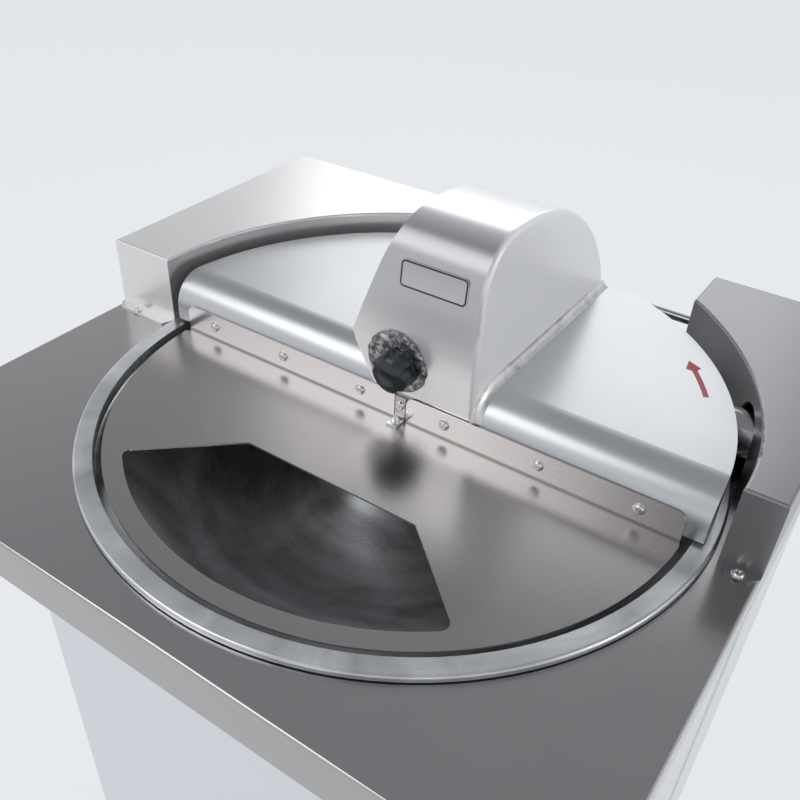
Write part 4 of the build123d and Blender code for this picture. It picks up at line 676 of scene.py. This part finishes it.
class CUTTER_OT_dome_weld_and_knob_shadow(bpy.types.Operator):
    """Ground weld where the dome's side meets the lid, and a dark ragged disc round the knob's boss that
    paints the knob's shadow and reflection on the dome
    """
    bl_idname = "cutter.dome_welds"
    bl_label = "Dome weld and knob shadow"

    def execute(self, context):
        width = context.scene.cutter_fittings.weld_width
        seam = place(DOME_SIDE_X, LID_BEND_Y, LID_TOP)
        band = block((seam.x - 0.0004, seam.y, seam.z - 0.0004),
                     (seam.x + width, place(0, DOME_BACK_Y, 0).y, seam.z + width))
        edit(band)
        pick(band, lambda edge: all(vertex.co.x > seam.x + 0.9 * width and vertex.co.z > seam.z + 0.9 * width
                                    for vertex in edge.verts), "EDGE")
        bpy.ops.mesh.bevel(offset=0.97 * width, segments=6, profile=0.14, affect="EDGES")
        pick(band, lambda face: face.normal.y < -0.9)
        bpy.ops.mesh.spin(steps=18, angle=-math.radians(72), axis=(1, 0, 0),
                          center=place(DOME_SIDE_X, LID_BEND_Y, LID_BEND_Z))
        bpy.ops.mesh.select_all(action="SELECT")
        bpy.ops.mesh.remove_doubles(threshold=0.00001)
        bpy.ops.mesh.normals_make_consistent(inside=False)
        edit(band, False)
        smooth(band, 40)
        fit(band, "dome_side_weld", "lid", FINISHED["ground_weld"])

        # Painted shadow and reflection of the knob: a dark ragged disc behind it on the dome's front.
        scale = begin(bpy.ops.mesh.primitive_circle_add, vertices=44, radius=KNOB_SHADOW_RADIUS,
                      fill_type="NGON")
        edit(scale)
        pick(scale, lambda face: True)
        bpy.ops.mesh.extrude_region_move(TRANSFORM_OT_translate={"value": (0, 0, 0.0009)})
        pick(scale, lambda face: face.normal.z > 0.9)
        for rise in (0.0012, -0.0008, 0.0012):
            bpy.ops.mesh.inset(thickness=KNOB_SHADOW_STEP, depth=rise)
        bpy.ops.mesh.select_all(action="SELECT")
        bpy.ops.transform.vertex_random(offset=0.0022, uniform=0.7, seed=7)
        bpy.ops.mesh.normals_make_consistent(inside=False)
        edit(scale, False)
        use(scale, "SUBSURF", levels=2, render_levels=2)
        smooth(scale, 60)
        seat = on_dome_front(KNOB_SHADOW_X, KNOB_SHADOW_Z, 0.4, touch_rise=1.0)
        copies(scale, "knob_shadow_disc", [seat], "lid", FINISHED["raw_weld"])
        return {"FINISHED"}


class CUTTER_OT_lid_marks(bpy.types.Operator):
    """Rotation arrow on the lid and a blank outlined plate on the dome"""
    bl_idname = "cutter.lid_marks"
    bl_label = "Lid marks"

    def execute(self, context):
        self.add_arrow(painted("arrow_red_ink", tuple(context.scene.cutter_fittings.arrow_color), 0.4))
        self.add_plate()
        return {"FINISHED"}

    @staticmethod
    def add_arrow(ink):
        """A curved shaft spun round the bowl axis, with a head that tapers to a point."""
        centre = place(0, 0, LID_TOP + 0.05)
        arrow = block(centre + Vector((ARROW_RADIUS - ARROW_HALF_WIDTH, -0.002, 0)),
                      centre + Vector((ARROW_RADIUS + ARROW_HALF_WIDTH, 0.002, ARROW_THICKNESS)))
        edit(arrow)
        pick(arrow, lambda face: face.normal.y > 0.9)
        bpy.ops.mesh.spin(steps=12, angle=-ARROW_SWEEP, center=centre, axis=(0, 0, 1))
        bpy.ops.mesh.extrude_region_move(TRANSFORM_OT_translate={"value": (0, 0, 0)})
        shoulder = centre + ARROW_RADIUS * Vector((math.cos(ARROW_SWEEP), math.sin(ARROW_SWEEP), 0))
        bpy.ops.transform.resize(value=(2.9, 2.9, 1), center_override=shoulder)
        advance = ARROW_HEAD * Vector((-math.sin(ARROW_SWEEP), math.cos(ARROW_SWEEP), 0))
        bpy.ops.mesh.extrude_region_move(TRANSFORM_OT_translate={"value": advance})
        bpy.ops.transform.resize(value=(0.02, 0.02, 1), center_override=shoulder + advance)
        bpy.ops.mesh.select_all(action="SELECT")
        bpy.ops.mesh.normals_make_consistent(inside=False)
        edit(arrow, False)
        turn = Matrix.Translation(centre) @ Matrix.Rotation(ARROW_START, 4, "Z") @ Matrix.Translation(-centre)
        copies(arrow, "rotation_arrow", [turn], "lid", ink)

    def add_plate(self):
        """A blank plate with rounded corners and a printed outline, on the dome's front."""
        plate = block((-PLATE_HALF_WIDTH, -PLATE_HALF_HEIGHT, 0),
                      (PLATE_HALF_WIDTH, PLATE_HALF_HEIGHT, PLATE_THICKNESS))
        edit(plate)
        pick(plate, lambda edge: abs(edge.verts[0].co.z - edge.verts[1].co.z) > PLATE_THICKNESS / 2, "EDGE")
        bpy.ops.mesh.bevel(offset=PLATE_CORNER, segments=6, affect="EDGES")
        pick(plate, lambda face: face.normal.z > 0.9)
        bpy.ops.mesh.inset(thickness=OUTLINE_OUTER)
        bpy.ops.mesh.inset(thickness=OUTLINE_INNER - OUTLINE_OUTER)
        edit(plate, False)
        seat = on_dome_front(PLATE_X, PLATE_Z, 0.15)
        steel = FINISHED["dome_polished"]
        made = copies(plate, "blank_plate", [seat], "lid", steel)[0]
        made.data.materials.append(painted("plate_outline_ink", (0.03, 0.03, 0.03), 0.5))
        for face in made.data.polygons:
            if self.in_outline(seat.inverted() @ face.center):
                face.material_index = 1

    @staticmethod
    def in_outline(spot):
        """True for a point of the outline, which runs round the plate's top a little inside its edge."""
        x = abs(spot.x) - PLATE_HALF_WIDTH + PLATE_CORNER
        y = abs(spot.y) - PLATE_HALF_HEIGHT + PLATE_CORNER
        depth = PLATE_CORNER - (math.hypot(x, y) if min(x, y) > 0 else max(x, y))
        return OUTLINE_OUTER < depth < OUTLINE_INNER and spot.z > 0.75 * PLATE_THICKNESS


def camera_pose(position, yaw, pitch, roll):
    """World matrix of a camera that looks along yaw and pitch, turned by roll, in degrees."""
    a, p, r = math.radians(yaw), math.radians(pitch), math.radians(roll)
    forward = Vector((-math.sin(a) * math.cos(p), math.cos(a) * math.cos(p), math.sin(p)))
    right = Vector((math.cos(a), math.sin(a), 0))
    up = right.cross(forward)
    right_rolled = right * math.cos(r) + up * math.sin(r)
    up_rolled = up * math.cos(r) - right * math.sin(r)
    matrix = Matrix((right_rolled, up_rolled, -forward)).transposed().to_4x4()
    matrix.translation = position
    return matrix


def soft_box(name, position, target, size, glow):
    """A rectangular area lamp aimed at a point; its glow is 1 where it is as bright as white paper."""
    data = bpy.data.lights.new(name, "AREA")
    data.shape = "RECTANGLE"
    data.size, data.size_y = size
    data.energy = glow * math.pi * size[0] * size[1]
    lamp = bpy.data.objects.new(name, data)
    lamp.location = position
    lamp.rotation_euler = (Vector(target) - Vector(position)).to_track_quat("-Z", "Y").to_euler()
    bpy.context.scene.collection.objects.link(lamp)


class CUTTER_OT_stage(bpy.types.Operator):
    """Sets up the pale floor, the lights and the camera"""
    bl_idname = "cutter.stage"
    bl_label = "Set up the studio"

    def execute(self, context):
        studio = context.scene.cutter_studio
        floor = begin(bpy.ops.mesh.primitive_plane_add, size=FLOOR_SIZE, location=(0, 0, 0))
        floor.name = "floor"
        pale = pale_stage("pale_floor", (0.88, 0.89, 0.91), studio.backdrop, FLOOR_GLOW_SHARE)
        floor.data.materials.append(pale)

        world = bpy.data.worlds.new("studio_world")
        context.scene.world = world
        world.use_nodes = True
        nodes = Nodes(world)
        height = nodes.span(nodes.axes("Generated")["Z"], 0, 1, HORIZON_END, CEILING_START,
                            interpolation_type="SMOOTHSTEP")
        nodes.feed("Color", nodes.mix_color(height, (*studio.backdrop, 1), (*studio.ceiling, 1)))

        top = Vector((0, 0, 0.8))
        soft_box("rear_box", (-1.0, 2.7, 2.5), top, (2.4, 1.5), studio.rear_glow)
        soft_box("front_left_box", (-1.4, -1.9, 2.9), top, (2.2, 1.6), studio.front_glow)
        soft_box("right_box", (2.8, 0.3, 1.7), top, (1.2, 1.6), studio.side_glow)

        data = bpy.data.cameras.new("camera")
        data.lens = studio.focal_length
        data.sensor_width = 36
        data.shift_x = CAMERA_SHIFT_X
        data.shift_y = CAMERA_SHIFT_Y
        data.clip_start = 0.02
        camera = bpy.data.objects.new("camera", data)
        camera.matrix_world = camera_pose(place(*CAMERA_SPOT), CAMERA_YAW, CAMERA_PITCH, CAMERA_ROLL)
        context.scene.collection.objects.link(camera)
        context.scene.camera = camera
        context.scene.view_settings.view_transform = "Standard"
        return {"FINISHED"}


class CUTTER_PT_panel(bpy.types.Panel):
    """Lists the builder's steps"""
    bl_idname = "CUTTER_PT_panel"
    bl_label = "Bowl Cutter"
    bl_space_type = "VIEW_3D"
    bl_region_type = "UI"
    bl_category = "Bowl Cutter"

    def draw(self, context):
        for operator in OPERATORS:
            self.layout.operator(operator.bl_idname)
        for group in (context.scene.cutter_studio, context.scene.cutter_fittings):
            for name in group.__annotations__:
                self.layout.prop(group, name)


OPERATORS = (CUTTER_OT_finishes, CUTTER_OT_lid_screws, CUTTER_OT_panel_screws, CUTTER_OT_lid_knob,
             CUTTER_OT_dome_weld_and_knob_shadow, CUTTER_OT_lid_marks, CUTTER_OT_stage)
CLASSES = (StudioSettings, FittingSettings, *OPERATORS, CUTTER_PT_panel)


def register():
    for cls in CLASSES:
        bpy.utils.register_class(cls)
    bpy.types.Scene.cutter_studio = bpy.props.PointerProperty(type=StudioSettings)
    bpy.types.Scene.cutter_fittings = bpy.props.PointerProperty(type=FittingSettings)


def unregister():
    del bpy.types.Scene.cutter_fittings
    del bpy.types.Scene.cutter_studio
    for cls in reversed(CLASSES):
        bpy.utils.unregister_class(cls)


def main():
    register()
    for operator in OPERATORS:
        group, name = operator.bl_idname.split(".")
        getattr(getattr(bpy.ops, group), name)()


if __name__ == "__main__":
    main()
